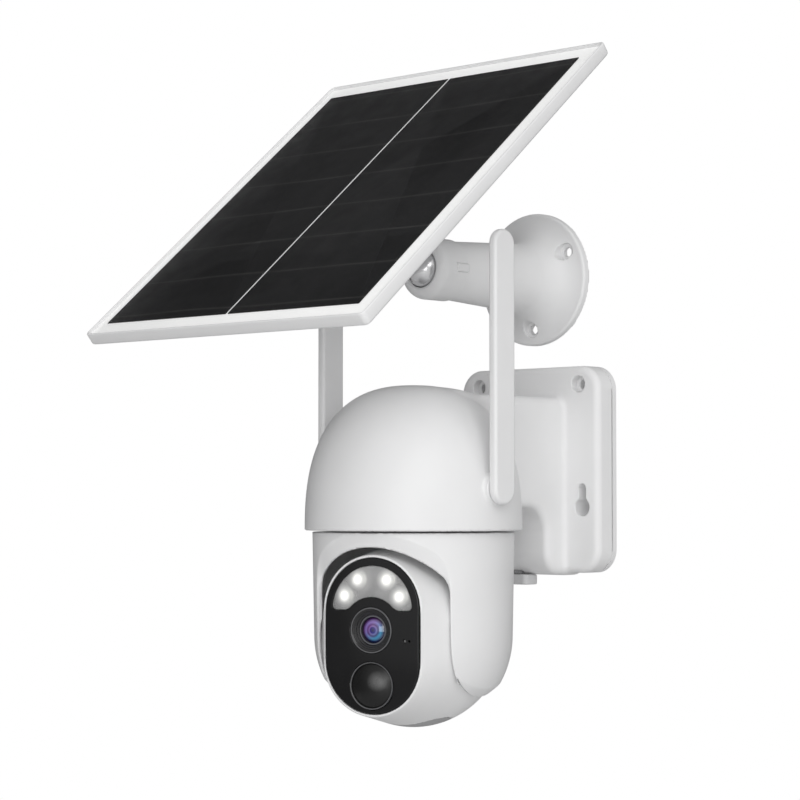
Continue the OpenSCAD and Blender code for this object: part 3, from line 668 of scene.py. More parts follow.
def yoke_field(x, y, z):
    """Pan body shell in the head's frame: the arch and the arms are bevelled from outside in."""
    top = 52.7
    rho = np.hypot(x, y)
    sphere = ball_field(x, y, z, 51)
    skin = np.where(z > 0, rho - 51 - np.clip(z / top, 0, 1), sphere)
    outer = smooth_and(skin, z - top, 0.4)
    inner = np.maximum(skin + 3.3, z - top + 3)
    shell = np.maximum(outer, -inner)
    spindle = np.maximum(rho - 11.97, span(z, 50, 64.3))
    shell = np.minimum(shell, spindle)
    shell = np.maximum(shell, -np.maximum(rho - 8, 30 - z))
    q = np.clip(-skin / 2.3, 0, 1)
    up = np.maximum(z, 0)
    wide = smooth_and(np.hypot(x, up) - 53, np.abs(x) - 37.2, 6)
    tight = smooth_and(np.hypot(x, up) - 45.5, np.abs(x) - 36, 3)
    arch = (1 - q) * wide + q * tight
    low = z + 3.5
    shell = smooth_cut(shell, smooth_and(arch, y + 4, 1), 0.5)
    shell = smooth_cut(shell, np.maximum(np.abs(x) - ARM_INSIDE, low), 0.5)
    arm_out = oval_field_2d(y, np.minimum(low, 0), 36, 22.5, 2.35)
    arm_in = oval_field_2d(y, np.minimum(low, 0), 37, 27, 2.35)
    arm = (1 - q) * arm_out + q * arm_in
    keep = smooth_or(arm, -low, 2)
    shell = smooth_and(shell, keep, 0.5)
    axle = np.maximum(np.hypot(y, z) - 4.02, np.abs(x) - 50.42)
    relief = smooth_and(np.hypot(y, z) - 33.2, np.abs(x) - 37.4, 0.6)
    shell = smooth_cut(shell, relief, 0.6)
    return np.maximum(shell, -axle)


net_piece("pan_yoke", yoke_field, (-53, -53, -32), (53, 53, 65), 0.85, HEAD, "pan_body",
          ["yoke"], WHITE,
          fine=(((-51.4, -49.6, 0.2), (49.6, 51.4, 0.2)), (), ()))


# ---------- head ----------

EDGE = 0.9


def head_hull(x, y, z):
    """Hull of the ball and the oval face, as the nearest of a family of shrinking ovals."""
    lean = PLATE_LIFT
    radius = PLATE_W / 2 + 1.5 - EDGE
    half = (PLATE_H - PLATE_W) / 2
    reach = FACE_D - EDGE

    def at(t):
        flat = np.hypot(x, np.maximum(np.abs(z - lean * t) - half * t, 0)) - radius * t
        return np.hypot(np.maximum(flat, 0), y + reach * t) - (1 - t) * HEAD_R - t * EDGE

    low = np.zeros_like(x)
    high = np.ones_like(x)
    for _ in range(11):
        a = low + (high - low) * 0.382
        b = low + (high - low) * 0.618
        closer = at(a) < at(b)
        high = np.where(closer, b, high)
        low = np.where(closer, low, a)
    middle = (low + high) / 2
    return np.minimum(np.minimum(at(middle), at(np.ones_like(x))), ball_field(x, y, z, HEAD_R))


def head_front_field(x, y, z):
    out = -y
    solid = np.maximum(head_hull(x, y, z), -ball_field(x, y, z, 44.2))
    lifted = z - PLATE_LIFT
    pocket = np.maximum(oval_2d(x, lifted, PLATE_W - 4.4, PLATE_H - 4.4), span(out, 20, PLATE_BACK))
    seat = np.maximum(oval_2d(x, lifted, PLATE_W + 0.4, PLATE_H + 0.4), PLATE_BACK - SEAM - out)
    solid = np.maximum(solid, -pocket)
    solid = smooth_cut(solid, seat, 0.35)
    solid = smooth_and(solid, -8 - out, 0.35)
    solid = np.maximum(solid, -(np.hypot(y, z) - 4.05))
    lid = oval_2d(y + 4, x, 22.6, 44.6)
    recess = np.maximum(np.maximum(lid, z + 30), -ball_field(x, y, z, 45.7))
    solid = smooth_cut(solid, recess, 0.3)
    slot = np.maximum(np.maximum(np.abs(x + 9) - 6.2, np.abs(y) - 1), span(z, -52, -36))
    button = np.maximum(np.hypot(x - 9, y) - 2.1, z + 30)
    solid = np.maximum(solid, -np.minimum(slot, button))
    screws = np.maximum(np.hypot(x, np.abs(z) - 31) - 1.35, span(out, -9, 4))
    return np.maximum(solid, -screws)


net_piece("head_front_shell", head_front_field, (-49, -49.5, -49), (49, 9.5, 49), 0.72, HEAD, "head",
          ["head_front"], WHITE)


def head_back_field(x, y, z):
    posts = np.maximum(np.hypot(x, np.abs(z) - 31) - 3.2, -ball_field(x, y, z, HEAD_R) - 200)
    solid = np.maximum(ball_field(x, y, z, HEAD_R),
                       -np.maximum(ball_field(x, y, z, 44.2), -posts))
    shelf = np.maximum(np.maximum(np.abs(x - 16) - 5, np.abs(y - 39.5) - 4), np.abs(z) - 4)
    solid = np.minimum(solid, np.maximum(shelf, ball_field(x, y, z, 46)))
    holes = np.minimum(np.hypot(x, np.abs(z) - 31) - 1.6,
                       np.maximum(np.hypot(x, np.abs(z) - 31) - 3.1, 28 - y))
    solid = smooth_cut(solid, holes, 0.3)
    return smooth_and(solid, 8 + SEAM - y, 0.35)


net_piece("head_back_shell", head_back_field, (-49, 6.5, -49), (49, 49, 49), 1.0, HEAD, "head",
          ["head_back"], WHITE)


def window_2d(x, z, grow=0.0):
    outer = smooth_and(np.hypot(x, z - FACE_Z) - 22 - grow, FACE_Z - grow - z, 2.4)
    return smooth_and(outer, 16.4 - grow - np.hypot(x, z - LENS_LIFT), 1.8)


def bulge(x, y, z):
    """Slightly domed front of the face plate."""
    return ball_field(x, y - (330 - FACE_D - 1.9), z - PLATE_LIFT, 330)


def face_plate_field(x, y, z):
    out = -y
    solid = smooth_and(oval_2d(x, z - PLATE_LIFT, PLATE_W, PLATE_H), bulge(x, y, z), 0.6)
    solid = np.maximum(solid, PLATE_BACK - out)
    solid = smooth_cut(solid, window_2d(x, z, SEAM), 0.2)
    solid = smooth_cut(solid, np.hypot(x, z - LENS_LIFT) - 11.5, 0.25)
    solid = smooth_cut(solid, np.hypot(x, z + PIR_DROP) - 11.9, 0.25)
    solid = smooth_cut(solid, np.hypot(x - 18.4, z + 0.4) - 0.8, 0.15)
    return smooth_cut(solid, np.hypot(x - 20.9, z + 0.4) - 0.5, 0.1)


net_piece("face_plate_black", face_plate_field, (-27, -50, -37.5), (27, -44, 42.5), 0.55, HEAD, "head",
          ["face_plate"], BLACK_GLOSS, fine=(((16.5, 22, 0.3),), (), ((-2, 1.5, 0.3),)))


def led_window_field(x, y, z):
    solid = smooth_and(window_2d(x, z), bulge(x, y, z) + 0.25, 0.25)
    return np.maximum(solid, 46.4 + y)


LED_SPOTS = [(16.3 * math.cos(math.radians(a)), FACE_Z + 1 + 16.3 * math.sin(math.radians(a)))
             for a in (21.6, 60.4, 119.6, 158.4)]


def reflector_field(x, y, z):
    out = -y
    solid = np.maximum(window_2d(x, z, -0.2), span(out, 42, 46.2))
    for cx, cz in LED_SPOTS:
        cone = np.hypot(x - cx, z - cz) - np.interp(out, (41.9, 46.3), (2.7, 3.9))
        solid = smooth_cut(solid, cone, 0.25)
    return solid


def painted_lamp_glow(look, start, end):
    """Painted lamp light: one near a lamp's middle, falling to nothing between two distances in metres."""
    flat = look.vector("MULTIPLY", look.place, (1, 0, 1))
    gaps = [look.vector("DISTANCE", flat, (cx * MM, 0, cz * MM)) for cx, cz in LED_SPOTS]
    nearest = gaps[0]
    for gap in gaps[1:]:
        nearest = look.node("Math", {0: nearest, 1: gap}, operation="MINIMUM").outputs["Value"]
    return look.ranged(nearest, 1, 0, start, end)


def smoky_pane():
    """Smoky pane that glows softly over each lamp: painted lamp light in its emission and opacity."""
    look = new_look("coated_glass")
    painted_glow = painted_lamp_glow(look, 0.0, 0.0058)
    broad = look.noise(70)
    look.bump(look.noise(900, 2), 0.03)
    return look.made({
        "Emission Color": look.ramp(painted_glow, [(0, grey(0)), (0.2, (0.04, 0.04, 0.039)),
                                           (0.4, (0.16, 0.16, 0.155)), (0.6, (0.50, 0.50, 0.47)),
                                           (0.76, (1, 1, 0.94)), (1, (1, 1, 0.97))]),
        "Emission Strength": 1.0,
        "Alpha": look.ramp(painted_glow, [(0, grey(0.42)), (0.35, grey(0.72)), (0.55, grey(0.97)),
                                  (0.75, grey(1))]),
        "Base Color": look.ramp(broad, [(0.3, grey(0.40)), (0.7, grey(0.60))]),
        "Roughness": look.ranged(broad, 0.12, 0.22)})


window_look = smoky_pane()
net_piece("led_window_pane", led_window_field, (-23, -50, 14), (23, -45.5, 39), 0.45, HEAD, "head",
          ["led_window"], window_look)


def reflector_look():
    """Silvered grey with painted lamp light: lighter and glowing softly round each lamp."""
    look = new_look("reflector")
    painted_glow = painted_lamp_glow(look, 0.0015, 0.0082)
    look.bump(look.noise(900, 2), 0.1)
    return look.made({
        # Painted lamp light: base colour lightens and emission rises near each lamp.
        "Base Color": look.ramp(painted_glow, [(0, (0.26, 0.26, 0.27)), (1, grey(0.8))]),
        "Emission Color": look.ramp(painted_glow, [(0, grey(0)), (0.45, (0.16, 0.16, 0.15)), (1, (1, 1, 0.95))]),
        "Emission Strength": 0.7,
        "Roughness": look.ranged(look.noise(300), 0.3, 0.45),
        "Metallic": 0.3})


net_piece("led_reflector_tray", reflector_field, (-23, -46.6, 14), (23, -41.6, 39), 0.45, HEAD, "head",
          ["led_reflector"], reflector_look())


def lamp_look():
    """Lit diode, a little warm."""
    look = new_look("led_lens")
    patchy = look.noise(500)
    return look.made({
        "Emission Color": look.ramp(patchy, [(0.3, (1, 1, 0.90)), (0.7, (1, 1, 0.96))]),
        "Emission Strength": 1.0,
        "Base Color": (0.9, 0.9, 0.85, 1),
        "Roughness": look.ranged(patchy, 0.15, 0.3)})


lamp_profile = filleted([(0, 38.1, 0), (2.4, 38.1, 0.15), (2.4, 42.4, 0)], False)
lamp_profile += [(2.3 * math.cos(math.radians(a)), 42.4 + 2.3 * math.sin(math.radians(a)))
                 for a in range(10, 90, 10)]
lamp_profile.append((0, 44.7))
lamps = [moved(lathe(lamp_profile, sides=32), x=cx, y=cz) for cx, cz in LED_SPOTS]
solid_piece("led_lamps", lamps, facing(0, 0), "head", ["leds"], lamp_look())

ring_profile = filleted([(7.5, 44.4, 0), (11.4, 44.4, 0.2), (11.4, 49.0, 0.3), (10.7, 49.0, 0.25),
                         (10.2, 48.5, 0.1), (9.6, 48.5, 0.1), (9.3, 48.0, 0.1), (8.7, 48.0, 0.1),
                         (8.4, 47.4, 0.1), (7.9, 47.4, 0.12), (7.5, 46.9, 0)], True, 3)
# The grey ring at 10.95 mm is a painted highlight along the rim's edge.
ring_look = ringed("lens_ring_black", [(0, (0.012, 0.012, 0.013)), (10.6, (0.012, 0.012, 0.013)),
                                       (10.95, (0.15, 0.15, 0.155)), (11.2, (0.08, 0.08, 0.085))],
                   11.5, 0.25, coat=0.2)
solid_piece("lens_ring_trim", [lathe(ring_profile, True)], facing(0, LENS_LIFT), "head", ["lens_ring"],
            ring_look)

barrel_profile = filleted([(5, 20, 0), (7.4, 20, 0.3), (7.4, 46.8, 0.2), (6.6, 46.8, 0.15),
                           (6.6, 44.0, 0.1), (5, 44.0, 0.1)], True, 3)
# The grey ring at 6.8 mm is a painted highlight along the rim's edge.
barrel_look = ringed("lens_barrel_black", [(0, (0.01, 0.01, 0.012)), (6.55, (0.02, 0.02, 0.025)),
                                           (6.8, (0.14, 0.14, 0.15)), (7.3, (0.08, 0.08, 0.09))],
                     7.6, 0.3)
solid_piece("lens_barrel_tube", [lathe(barrel_profile, True)], facing(0, LENS_LIFT), "head",
            ["lens_barrel"], barrel_look)


def lens_look():
    """Coated front element: painted reflections in rings of violet and blue that drift from one side to the
    other, and a faint painted glow.
    """
    look = new_look("lens_tint_and_painted_reflections")
    radius = look.radius(6.5)
    # Painted reflections: bright violet and blue rings, warmer on one side and cooler on the other.
    warm = look.ramp(radius, [(0, (0.02, 0.01, 0.10)), (0.22, (0.05, 0.02, 0.30)),
                               (0.30, (0.42, 0.20, 0.62)), (0.42, (0.16, 0.04, 0.26)),
                               (0.62, (0.40, 0.26, 0.78)), (0.86, (0.08, 0.02, 0.12)),
                               (1, (0.02, 0.01, 0.05))])
    cool = look.ramp(radius, [(0, (0.01, 0.01, 0.08)), (0.24, (0.02, 0.05, 0.35)),
                               (0.33, (0.16, 0.28, 0.66)), (0.46, (0.01, 0.03, 0.18)),
                               (0.64, (0.03, 0.38, 0.72)), (0.86, (0.005, 0.02, 0.11)),
                               (1, (0.01, 0.01, 0.04))])
    across = look.vector("DOT_PRODUCT", look.place, (0.65, -0.76, 0))
    drift = look.mix(look.ranged(across, 0, 1, -0.0025, 0.0035), warm, cool)
    lens_tint_and_reflections = look.vector("MULTIPLY", drift, (0.62, 0.62, 0.62))
    return look.made({
        "Base Color": lens_tint_and_reflections,
        "Emission Color": lens_tint_and_reflections,
        # A faint painted glow.
        "Emission Strength": 0.08,
        "Roughness": look.ranged(look.noise(200), 0.03, 0.08),
        "Coat Weight": 1.0,
        "Coat Roughness": 0.03})


glass_profile = [(0, 44.1), (6.5, 44.1)]
glass_edge = math.asin(6.5 / 12)
glass_profile += [(12 * math.sin(glass_edge * t / 12), 35.4 + 12 * math.cos(glass_edge * t / 12) - 0.4)
                  for t in range(12, -1, -1)]
solid_piece("lens_glass_dome", [lathe(glass_profile)], facing(0, LENS_LIFT), "head", ["lens_glass"],
            lens_look())

pir_edge = math.asin(11.0 / 19.6)
pir_profile = filleted([(10.4, 44.9, 0), (11.8, 44.9, 0.1), (11.8, 48.6, 0.25), (11.3, 48.6, 0.2),
                        (11.0, 47.75, 0)], False, 3)
pir_profile += [(19.6 * math.sin(pir_edge * t / 24), 31.6 + 19.6 * math.cos(pir_edge * t / 24))
                for t in range(24, -1, -1)]
pir_profile += [(18.4 * math.sin(pir_edge * t / 16), 31.6 + 18.4 * math.cos(pir_edge * t / 16))
                for t in range(0, 15)]
# The grey ring at 11.35 mm is a painted rim highlight, and pale=0.3 paints a reflection patch on the dome.
pir_look = ringed("motion_lens_black", [(0, (0.006, 0.006, 0.006)), (11.05, (0.006, 0.006, 0.006)),
                                        (11.35, (0.18, 0.18, 0.185)), (11.6, (0.07, 0.07, 0.075))],
                  12, 0.3, specular=0.4, pale=0.3)
solid_piece("motion_lens_dome", [lathe(pir_profile, True)], facing(0, -PIR_DROP), "head", ["pir_lens"],
            pir_look)


def lid_field(x, y, z):
    skin = np.maximum(ball_field(x, y, z, HEAD_R), -ball_field(x, y, z, 45.8))
    return smooth_and(np.maximum(skin, z + 30), oval_2d(y + 4, x, 21.8, 43.8), 0.3)


net_piece("card_cover_lid", lid_field, (-23, -16, -48), (23, 8, -38), 0.5, HEAD, "card_cover",
          ["card_cover"], LID)


# ---------- panel bracket ----------

BRACKET = placed((BALL[0], 0, BALL[2]), OUTWARD)


def bracket_field(x, y, z):
    """Flange, tapered arm and socket nose, with +Z away from the wall."""
    rho = np.hypot(x, y)
    flange = smooth_and(rho - FLANGE_R, z - 4.5, 1.4)
    cone = (rho - np.interp(z, (22.5, 76), (18.5, 15.4))) * 0.998
    body = smooth_or(flange, smooth_and(cone, z - 76, 0.6), 16)
    body = np.minimum(body, smooth_and(rho - 13.4, z - 90, 0.5))
    body = np.maximum(body, -np.maximum(rho - 11.8, 79.5 - z))
    for a in (30, 150, 270):
        cx = 27.5 * math.cos(math.radians(a))
        cy = 27.5 * math.sin(math.radians(a))
        hole = np.hypot(x - cx, y - cy)
        body = smooth_cut(body, np.minimum(hole - 2.6, np.maximum(hole - 4.6, 3.1 - z)), 0.35)
    return np.maximum(body, -z)


net_piece("panel_bracket_arm", bracket_field, (-38, -38, -0.8), (38, 38, 91), 0.85, BRACKET, "wall_unit",
          ["bracket"], WHITE)


def collar_field(x, y, z):
    rho = np.hypot(x, y)
    body = smooth_and(rho - 16.4, z - 96.3, 5.6)
    body = smooth_and(body, 76.3 - z, 0.6)
    lug = smooth_and(np.abs(y) - 2.2, x - 17.3, 0.5)
    lug = smooth_and(lug, span(z, 76.3, 85.3), 0.5)
    body = np.minimum(body, np.maximum(lug, 14 - x))
    body = np.maximum(body, -np.maximum(rho - 13.7, z - 90.3))
    ball = ball_field(x, y, z - BALL_OUT, BALL_R + 0.3)
    lean = math.radians(55.5)
    mouth = (rho - 3 / math.cos(lean)) * math.cos(lean) - (z - BALL_OUT) * math.sin(lean)
    mouth = np.maximum(mouth, BALL_OUT - z)
    return smooth_cut(body, np.minimum(ball, mouth), 0.3)


net_piece("bracket_collar_ring", collar_field, (-18, -18, 75.5), (18.5, 18, 97), 0.6, BRACKET, "collar",
          ["bracket_collar"], WHITE)

# ---------- ball stud and solar panel ----------

FRONT_Z = 65.5
PANEL_T = 7
BACK_Z = FRONT_Z - PANEL_T
PANEL_HALF_W = 97.5
PANEL_HALF_L = 116.5
PANEL_SIDE = 2.5
PANEL_OFFSET = 20.5
PANEL = STUD @ Matrix.Translation(Vector((-PANEL_SIDE, -PANEL_OFFSET, 0)) * MM)
LIP = 1.3
LAMINATE_T = 3
CELL_BORDER = 9
CELL_END = 11
CELL_GAP = 1.6
CELL_SHIFT = 2
JBOX_LOW = BACK_Z - 15
BOSS_LOW = JBOX_LOW - 9
BOSS_SCREW = 12.37
GLAND_X = 18


def hexagon(across, low, high):
    """Chamfered hexagon nut."""
    loops = []
    for r, z in ((across - 0.5, low), (across, low + 0.35), (across, high - 0.35), (across - 0.5, high)):
        outline = [(r * math.cos(math.radians(60 * k)), r * math.sin(math.radians(60 * k)))
                   for k in range(6)]
        loops.append((outline, z))
    return loft(loops)


def threaded(low, high, r, pitch):
    """Rod with shallow ridges."""
    profile = [(0, low), (r - 0.3, low)]
    z = low
    while z + pitch <= high:
        profile += [(r, z + pitch * 0.35), (r, z + pitch * 0.5), (r - 0.35, z + pitch * 0.85)]
        z += pitch
    profile += [(r - 0.35, high), (0, high)]
    return lathe(profile, sides=48)


ball_profile = [(0, -BALL_R)] + [(BALL_R * math.cos(math.radians(a)), BALL_R * math.sin(math.radians(a)))
                               for a in range(-85, 73, 5)]
nut_z = BOSS_LOW - 3.4
ball_profile += filleted([(3, 10.2, 0), (3, nut_z + 0.4, 0), (0, nut_z + 0.4, 0)], False)
stud_parts = [lathe(ball_profile), hexagon(8, nut_z, nut_z + 3), threaded(nut_z, BACK_Z - 13, 3, 1.0)]
solid_piece("ball_and_stud", stud_parts, STUD, "ball_stud", ["ball_stud"], CHROME)


def frame_loops():
    """Tray-shaped frame: bevelled outside, thin raised lip, ledge for the laminate, floor."""
    loops = []

    def add(inset, z, corner):
        loops.append((rounded_loop(PANEL_HALF_W - inset, PANEL_HALF_L - inset, max(corner, 0.3)), z))

    for k in range(4):
        a = math.radians(30 * k)
        add(1.5 * (1 - math.sin(a)), BACK_Z + 1.5 * (1 - math.cos(a)), 3 - 1.5 * (1 - math.sin(a)))
    for k in range(4):
        a = math.radians(30 * k)
        add(0.7 * (1 - math.cos(a)), FRONT_Z - 0.7 * (1 - math.sin(a)), 3 - 0.7 * (1 - math.cos(a)))
    add(LIP - 0.25, FRONT_Z, 2.1)
    add(LIP, FRONT_Z - 0.25, 2)
    add(LIP, FRONT_Z - LAMINATE_T, 2)
    add(4.5, FRONT_Z - LAMINATE_T, 1.5)
    add(4.5, BACK_Z + 2, 1.5)
    return loops


ribs = [moved(slab(PANEL_HALF_W - 4, 1, 0.3, BACK_Z + 1.5, FRONT_Z - LAMINATE_T, 0.2), y=y)
        for y in (-60, 0, 60)]
solid_piece("panel_frame_tray", [loft(frame_loops())] + ribs, PANEL, "panel", ["panel_frame"], WHITE)

sheet_half = (PANEL_HALF_W - LIP - 0.2, PANEL_HALF_L - LIP - 0.2)
solid_piece("panel_back_sheet", [slab(*sheet_half, 2, FRONT_Z - 2.95, FRONT_Z - 1.65, 0.1)], PANEL, "panel",
            ["panel_backsheet"], SHEET)


def cell_look():
    """Black cell: fine dot print and faint collector lines."""
    look = new_look("solar_cell")
    dots = look.node("TexVoronoi", {"Vector": look.place, "Scale": 900, "Randomness": 0.15})
    lines = look.node("TexWave", {"Vector": look.place, "Scale": 11, "Distortion": 0.5, "Detail": 1},
                      bands_direction="Y")
    print_mask = look.ranged(dots.outputs["Distance"], 1, 0, 0.15, 0.5)
    line_mask = look.ranged(lines.outputs["Fac"], 0, 1, 0.992, 1.0)
    base = look.ramp(print_mask, [(0, (0.004, 0.004, 0.005)), (1, (0.010, 0.010, 0.0095))])
    look.bump(print_mask, 0.15)
    return look.made({
        "Base Color": look.mix(line_mask, base, (0.035, 0.035, 0.034, 1)),
        "Roughness": look.ranged(look.noise(60), 0.32, 0.45),
        "Specular IOR Level": 0.3})


CELL = cell_look()
cell_half = (2 * PANEL_HALF_W - 2 * CELL_BORDER - CELL_GAP) / 4
for side, tag in ((-1, "left"), (1, "right")):
    strip = moved(slab(cell_half, PANEL_HALF_L - CELL_END, 0.2, FRONT_Z - 1.6, FRONT_Z - 1.2, 0.05),
                  x=side * (cell_half + CELL_GAP / 2) - CELL_SHIFT)
    solid_piece("cell_strip_" + tag, [strip], PANEL, "panel", ["solar_cell_" + tag], CELL)


def cover_look():
    """Clear sheet: see-through, with a shine that grows towards a glancing view."""
    look = new_look("panel_glass")
    look.nodes.remove(look.main)
    clear = look.node("BsdfTransparent", {})
    shine = look.node("BsdfGlossy", {"Roughness": look.ranged(look.noise(30), 0.03, 0.09)})
    glance = look.node("LayerWeight", {})
    strength = look.ramp(glance.outputs["Facing"], [(0, grey(0.015)), (0.6, grey(0.022)), (0.8, grey(0.06)),
                                                    (0.93, grey(0.35)), (1, grey(0.8))])
    mix = look.node("MixShader", {"Fac": strength, 1: clear.outputs["BSDF"], 2: shine.outputs["BSDF"]})
    look.links.new(mix.outputs["Shader"], look.nodes["Material Output"].inputs["Surface"])
    return look.owner


solid_piece("panel_clear_cover", [slab(*sheet_half, 2, FRONT_Z - 1.2, FRONT_Z - 0.1, 0.1)], PANEL, "panel",
            ["panel_glass"], cover_look())


def junction_field(x, y, z):
    bottom = JBOX_LOW
    solid = smooth_and(rect_2d(x, y, 37, 30, 6), bottom - z, 1.6)
    hollow = np.maximum(rect_2d(x, y, 34.5, 27.5, 4), bottom + 2.4 - z)
    solid = np.maximum(np.maximum(solid, -hollow), z - BACK_Z + SEAM)
    core = np.hypot(x, y) - 5.05
    spots = np.hypot(np.abs(x) - BOSS_SCREW, np.abs(y) - BOSS_SCREW) - 1.35
    gland = np.maximum(np.hypot(x - GLAND_X, z - BACK_Z + 7.5) - 4.5, span(y, -35, -25))
    return np.maximum(solid, -np.minimum(np.minimum(core, spots), gland))


net_piece("junction_box_shell", junction_field, (-38, -31, BACK_Z - 16), (38, 31, BACK_Z + 1), 0.9,
          STUD, "panel", ["junction_box"], WHITE)


def screw_field(x, y, z, head_r, head_h, shank_r, length):
    """Cross-recess screw pointing down -Z, the head's top at z = 0."""
    rho = np.hypot(x, y)
    head = smooth_and(rho - head_r, span(z, -head_h, 0), 0.35)
    thread = 0.12 * np.cos(2 * math.pi * z / 0.9)
    shank = np.maximum(rho - shank_r + 0.12 - thread, span(z, -length, -head_h + 0.2))
    arms = np.minimum(np.maximum(np.abs(x) - 0.32, np.abs(y) - 1.5),
                      np.maximum(np.abs(y) - 0.32, np.abs(x) - 1.5))
    cross = np.maximum(arms + 0.25 * (-z - 0.5), -0.95 - z)
    return np.maximum(np.minimum(head, shank), -cross)


def screw_set(name, spots, head_h, length, where, body, node):
    """Copies of one screw at (x, y, z, direction of the head)."""
    def field(x, y, z):
        return screw_field(x, y, z, 2.8, head_h, 1.28, length)

    points, quads, normals = surface_net(field, (-3.2, -3.2, -length - 0.4), (3.2, 3.2, 0.4), 0.28)
    parts = []
    for x, y, z, way in spots:
        turned = points * (1, way, way)
        parts.append(([(a + x, b + y, c + z) for a, b, c in turned], quads.tolist()))
    solid_piece(name, parts, where, body, [node], STEEL, sharp=50)


cover_spots = [(x, z, 0.1, -1) for x, z in ((-30, -42), (30, -42), (-16, 45), (16, 45))]
screw_set("housing_screw_set", cover_spots, 1.4, 10.9, placed((0, 0, 0), OUTWARD), "wall_unit",
          "housing_screws")
screw_set("head_screw_set", [(0, 31, -29.8, -1), (0, -31, -29.8, -1)], 1.7, 32.8, facing(0, 0), "head",
          "head_screws")
boss_z = JBOX_LOW - 3 - SEAM - 1.7
boss_spots = [(x * BOSS_SCREW, y * BOSS_SCREW, boss_z, -1) for x in (-1, 1) for y in (-1, 1)]
screw_set("boss_screw_set", boss_spots, 1.6, 8.5, STUD, "panel", "panel_boss_screws")


def boss_field(x, y, z):
    top = JBOX_LOW - SEAM
    rho = np.hypot(x, y)
    plate = smooth_and(rho - 22, top - 3 - z, 0.6)
    core = smooth_and(rho - 13, top - 9 - z, 0.8)
    body = np.maximum(smooth_or(plate, core, 2), z - top)
    spots = np.hypot(np.abs(x) - BOSS_SCREW, np.abs(y) - BOSS_SCREW) - 1.6
    seats = np.maximum(np.hypot(np.abs(x) - BOSS_SCREW, np.abs(y) - BOSS_SCREW) - 3.3, z - top + 3)
    body = smooth_cut(body, seats, 0.3)
    return np.maximum(body, -np.minimum(rho - 5.05, spots))


net_piece("panel_boss_mount", boss_field, (-23, -23, BACK_Z - 25), (23, 23, BACK_Z - 14), 0.7,
          STUD, "panel", ["panel_boss"], WHITE)

gland_profile = filleted([(2.6, 7.6, 0), (2.6, 0.6, 0), (3.4, 0.5, 0), (3.4, -3.8, 0), (4.9, -3.8, 0.15),
                          (4.9, -2.8, 0.15), (4.4, -2.7, 0), (4.4, 0.1, 0), (5.4, 0.1, 0.2),
                          (5.2, 2.0, 0.2), (4.7, 2.2, 0.1), (5.0, 2.9, 0.2), (4.5, 3.5, 0.1),
                          (4.7, 4.3, 0.2), (4.2, 4.9, 0.1), (4.3, 5.7, 0.2), (4.0, 7.0, 0.4),
                          (2.6, 7.0, 0.2)], False, 3)[1:]
gland_turn = Matrix.Rotation(math.radians(90), 4, "X")
gland_at = Matrix.Translation(Vector((GLAND_X, -30, BACK_Z - 7.5)) * MM)
solid_piece("cable_gland_ribbed", [lathe(gland_profile, True, 64)], STUD @ gland_at @ gland_turn, "panel",
            ["cable_gland"], RUBBER_BLACK)


def port_cover_field(x, y, z):
    """Rubber tab and its plug, with z = 0 at the block's underside."""
    tab = smooth_and(rect_2d(x, y, 11, 5.5, 2.5), span(z, -5.5, -0.1), 0.9)
    groove = np.maximum(np.abs(np.abs(x) - 7.75) - 0.45, -5.0 - z)
    tab = smooth_cut(tab, np.maximum(groove, z + 4.9), 0.2)
    plug = np.maximum(rect_2d(x, y, 3.75, 0.85, 0.6), span(z, -1, 4))
    return np.minimum(tab, plug)


net_piece("port_cover_tab", port_cover_field, (-11.7, -6.2, -6.1), (11.7, 6.2, 4.6), 0.5,
          placed((PORT_X, -PORT_DEPTH, BLOCK_BOTTOM)), "port_cover", ["port_cover"], RUBBER_GREY)


# ---------- CAD nodes that keep their shape ----------

CARRIED = {
    "rear_cover": WHITE, "housing_gasket": RUBBER_BLACK, "dome_base": WHITE, "pan_motor": MOTOR,
    "main_board": BOARD, "battery_left": WRAP, "battery_right": WRAP, "battery_holder": BLACK,
    "charge_socket": PLATED, "speaker": BLACK, "antenna_pin_left": STEEL, "antenna_pin_right": STEEL,
    "antenna_element_left": COPPER, "antenna_element_right": COPPER, "pan_gear": NYLON,
    "pan_pinion": BRASS, "tilt_axle_left": STEEL, "tilt_axle_right": STEEL, "tilt_gear": NYLON,
    "tilt_pinion": BRASS, "head_board": BOARD, "sensor_board": BOARD, "pir_sensor": PLATED,
    # The light guide shares the pane's painted lamp glow.
    "light_guide": window_look, "microphone": PLATED, "card_socket": PLATED,
    "reset_button": RUBBER_BLACK, "tilt_motor": MOTOR, "ball_seat": BLACK, "panel_insert": BRASS,
}
for node, look in CARRIED.items():
    obj = frame["nodes"][node]
    obj.data.materials.clear()
    obj.data.materials.append(look)


# ---------- stage, light and camera ----------

def stage_floor():
    """Pale floor, low enough and small enough to stay out of the photograph's view."""
    size = 1.6
    mesh = bpy.data.meshes.new("floor")
    loop = [(size * math.cos(2 * math.pi * k / 96), size * math.sin(2 * math.pi * k / 96), -0.62)
            for k in range(96)]
    mesh.from_pydata(loop, [], [tuple(range(96))])
    obj = bpy.data.objects.new("floor", mesh)
    bpy.context.scene.collection.objects.link(obj)
    pale = surface("floor_pale", (0.82, 0.82, 0.82), 0.7, grain=60, bump=0.02, vary=0.01)
    obj.data.materials.append(pale)


stage_floor()


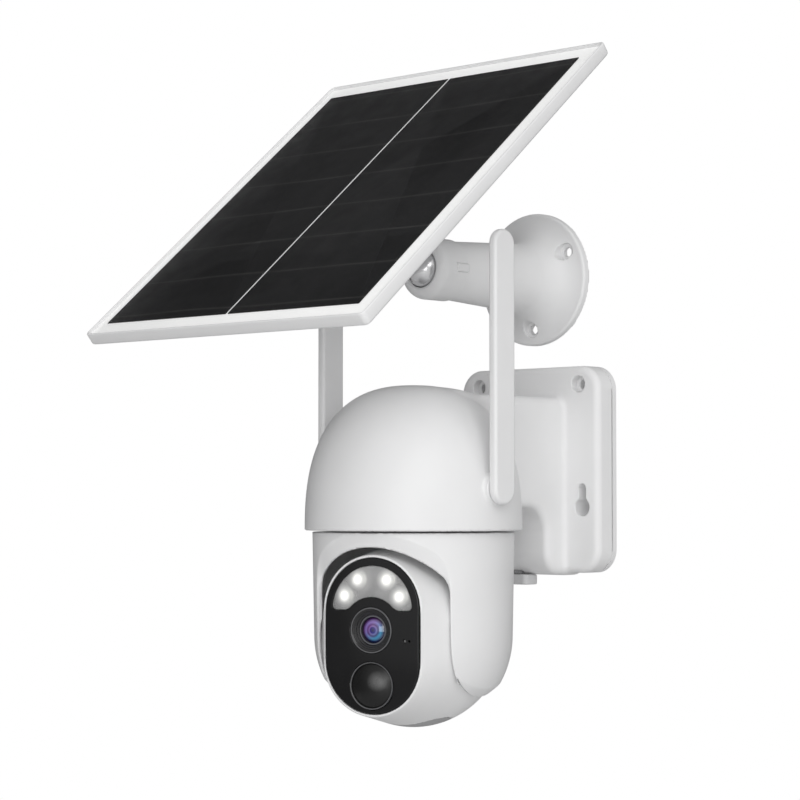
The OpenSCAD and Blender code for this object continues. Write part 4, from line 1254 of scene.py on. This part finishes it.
def area_light(name, position, target, size, power):
    light = bpy.data.lights.new(name, "AREA")
    light.shape = "RECTANGLE"
    light.size = size[0]
    light.size_y = size[1]
    light.energy = power
    obj = bpy.data.objects.new(name, light)
    bpy.context.scene.collection.objects.link(obj)
    obj.location = position
    obj.rotation_euler = (Vector(target) - Vector(position)).to_track_quat("-Z", "Y").to_euler()


def studio_world():
    """White background; the light it gives is darker on the left, below and behind."""
    world = bpy.data.worlds.new("studio")
    bpy.context.scene.world = world
    sky = Shader(world, "Background", "Generated")
    facing_key = sky.vector("DOT_PRODUCT", sky.place, (0.78, -0.45, 0.43))
    ambient = sky.ramp(sky.ranged(facing_key, 0, 1, -1, 1),
                       [(0.0, (0.12, 0.12, 0.122)), (0.45, (0.30, 0.30, 0.303)), (0.75, grey(0.9)),
                        (1, grey(1.15))])
    sky.feed(sky.main, {"Color": ambient, "Strength": 0.62})
    backdrop = sky.node("Background", {"Color": (1, 1, 1, 1), "Strength": 1.0})
    path = sky.node("LightPath", {})
    mix = sky.node("MixShader", {"Fac": path.outputs["Is Camera Ray"], 1: sky.main.outputs["Background"],
                                 2: backdrop.outputs["Background"]})
    sky.links.new(mix.outputs["Shader"], sky.nodes["World Output"].inputs["Surface"])


studio_world()
area_light("key", (1.5, -1.1, 0.9), (0, -0.08, 0.0), (1.2, 1.2), 9)
area_light("fill", (0.2, -1.9, 0.3), (0, -0.08, 0.0), (1.4, 1.4), 1.5)
area_light("front", (0.9, -1.4, 0.0), (0, -0.08, 0.0), (0.7, 0.7), 4)

CAMERA_AT = Vector((806.7, -986.78, -16.56)) * MM
CAMERA_AIM = Vector((-57.79, -55.94, 38.48)) * MM
lens = bpy.data.cameras.new("camera")
lens.lens = 104.04
lens.sensor_width = 36
lens.clip_start = 0.05
viewer = bpy.data.objects.new("camera", lens)
bpy.context.scene.collection.objects.link(viewer)
viewer.location = CAMERA_AT
viewer.rotation_euler = (CAMERA_AIM - CAMERA_AT).to_track_quat("-Z", "Y").to_euler()
bpy.context.scene.camera = viewer
bpy.context.scene.view_settings.view_transform = "Standard"
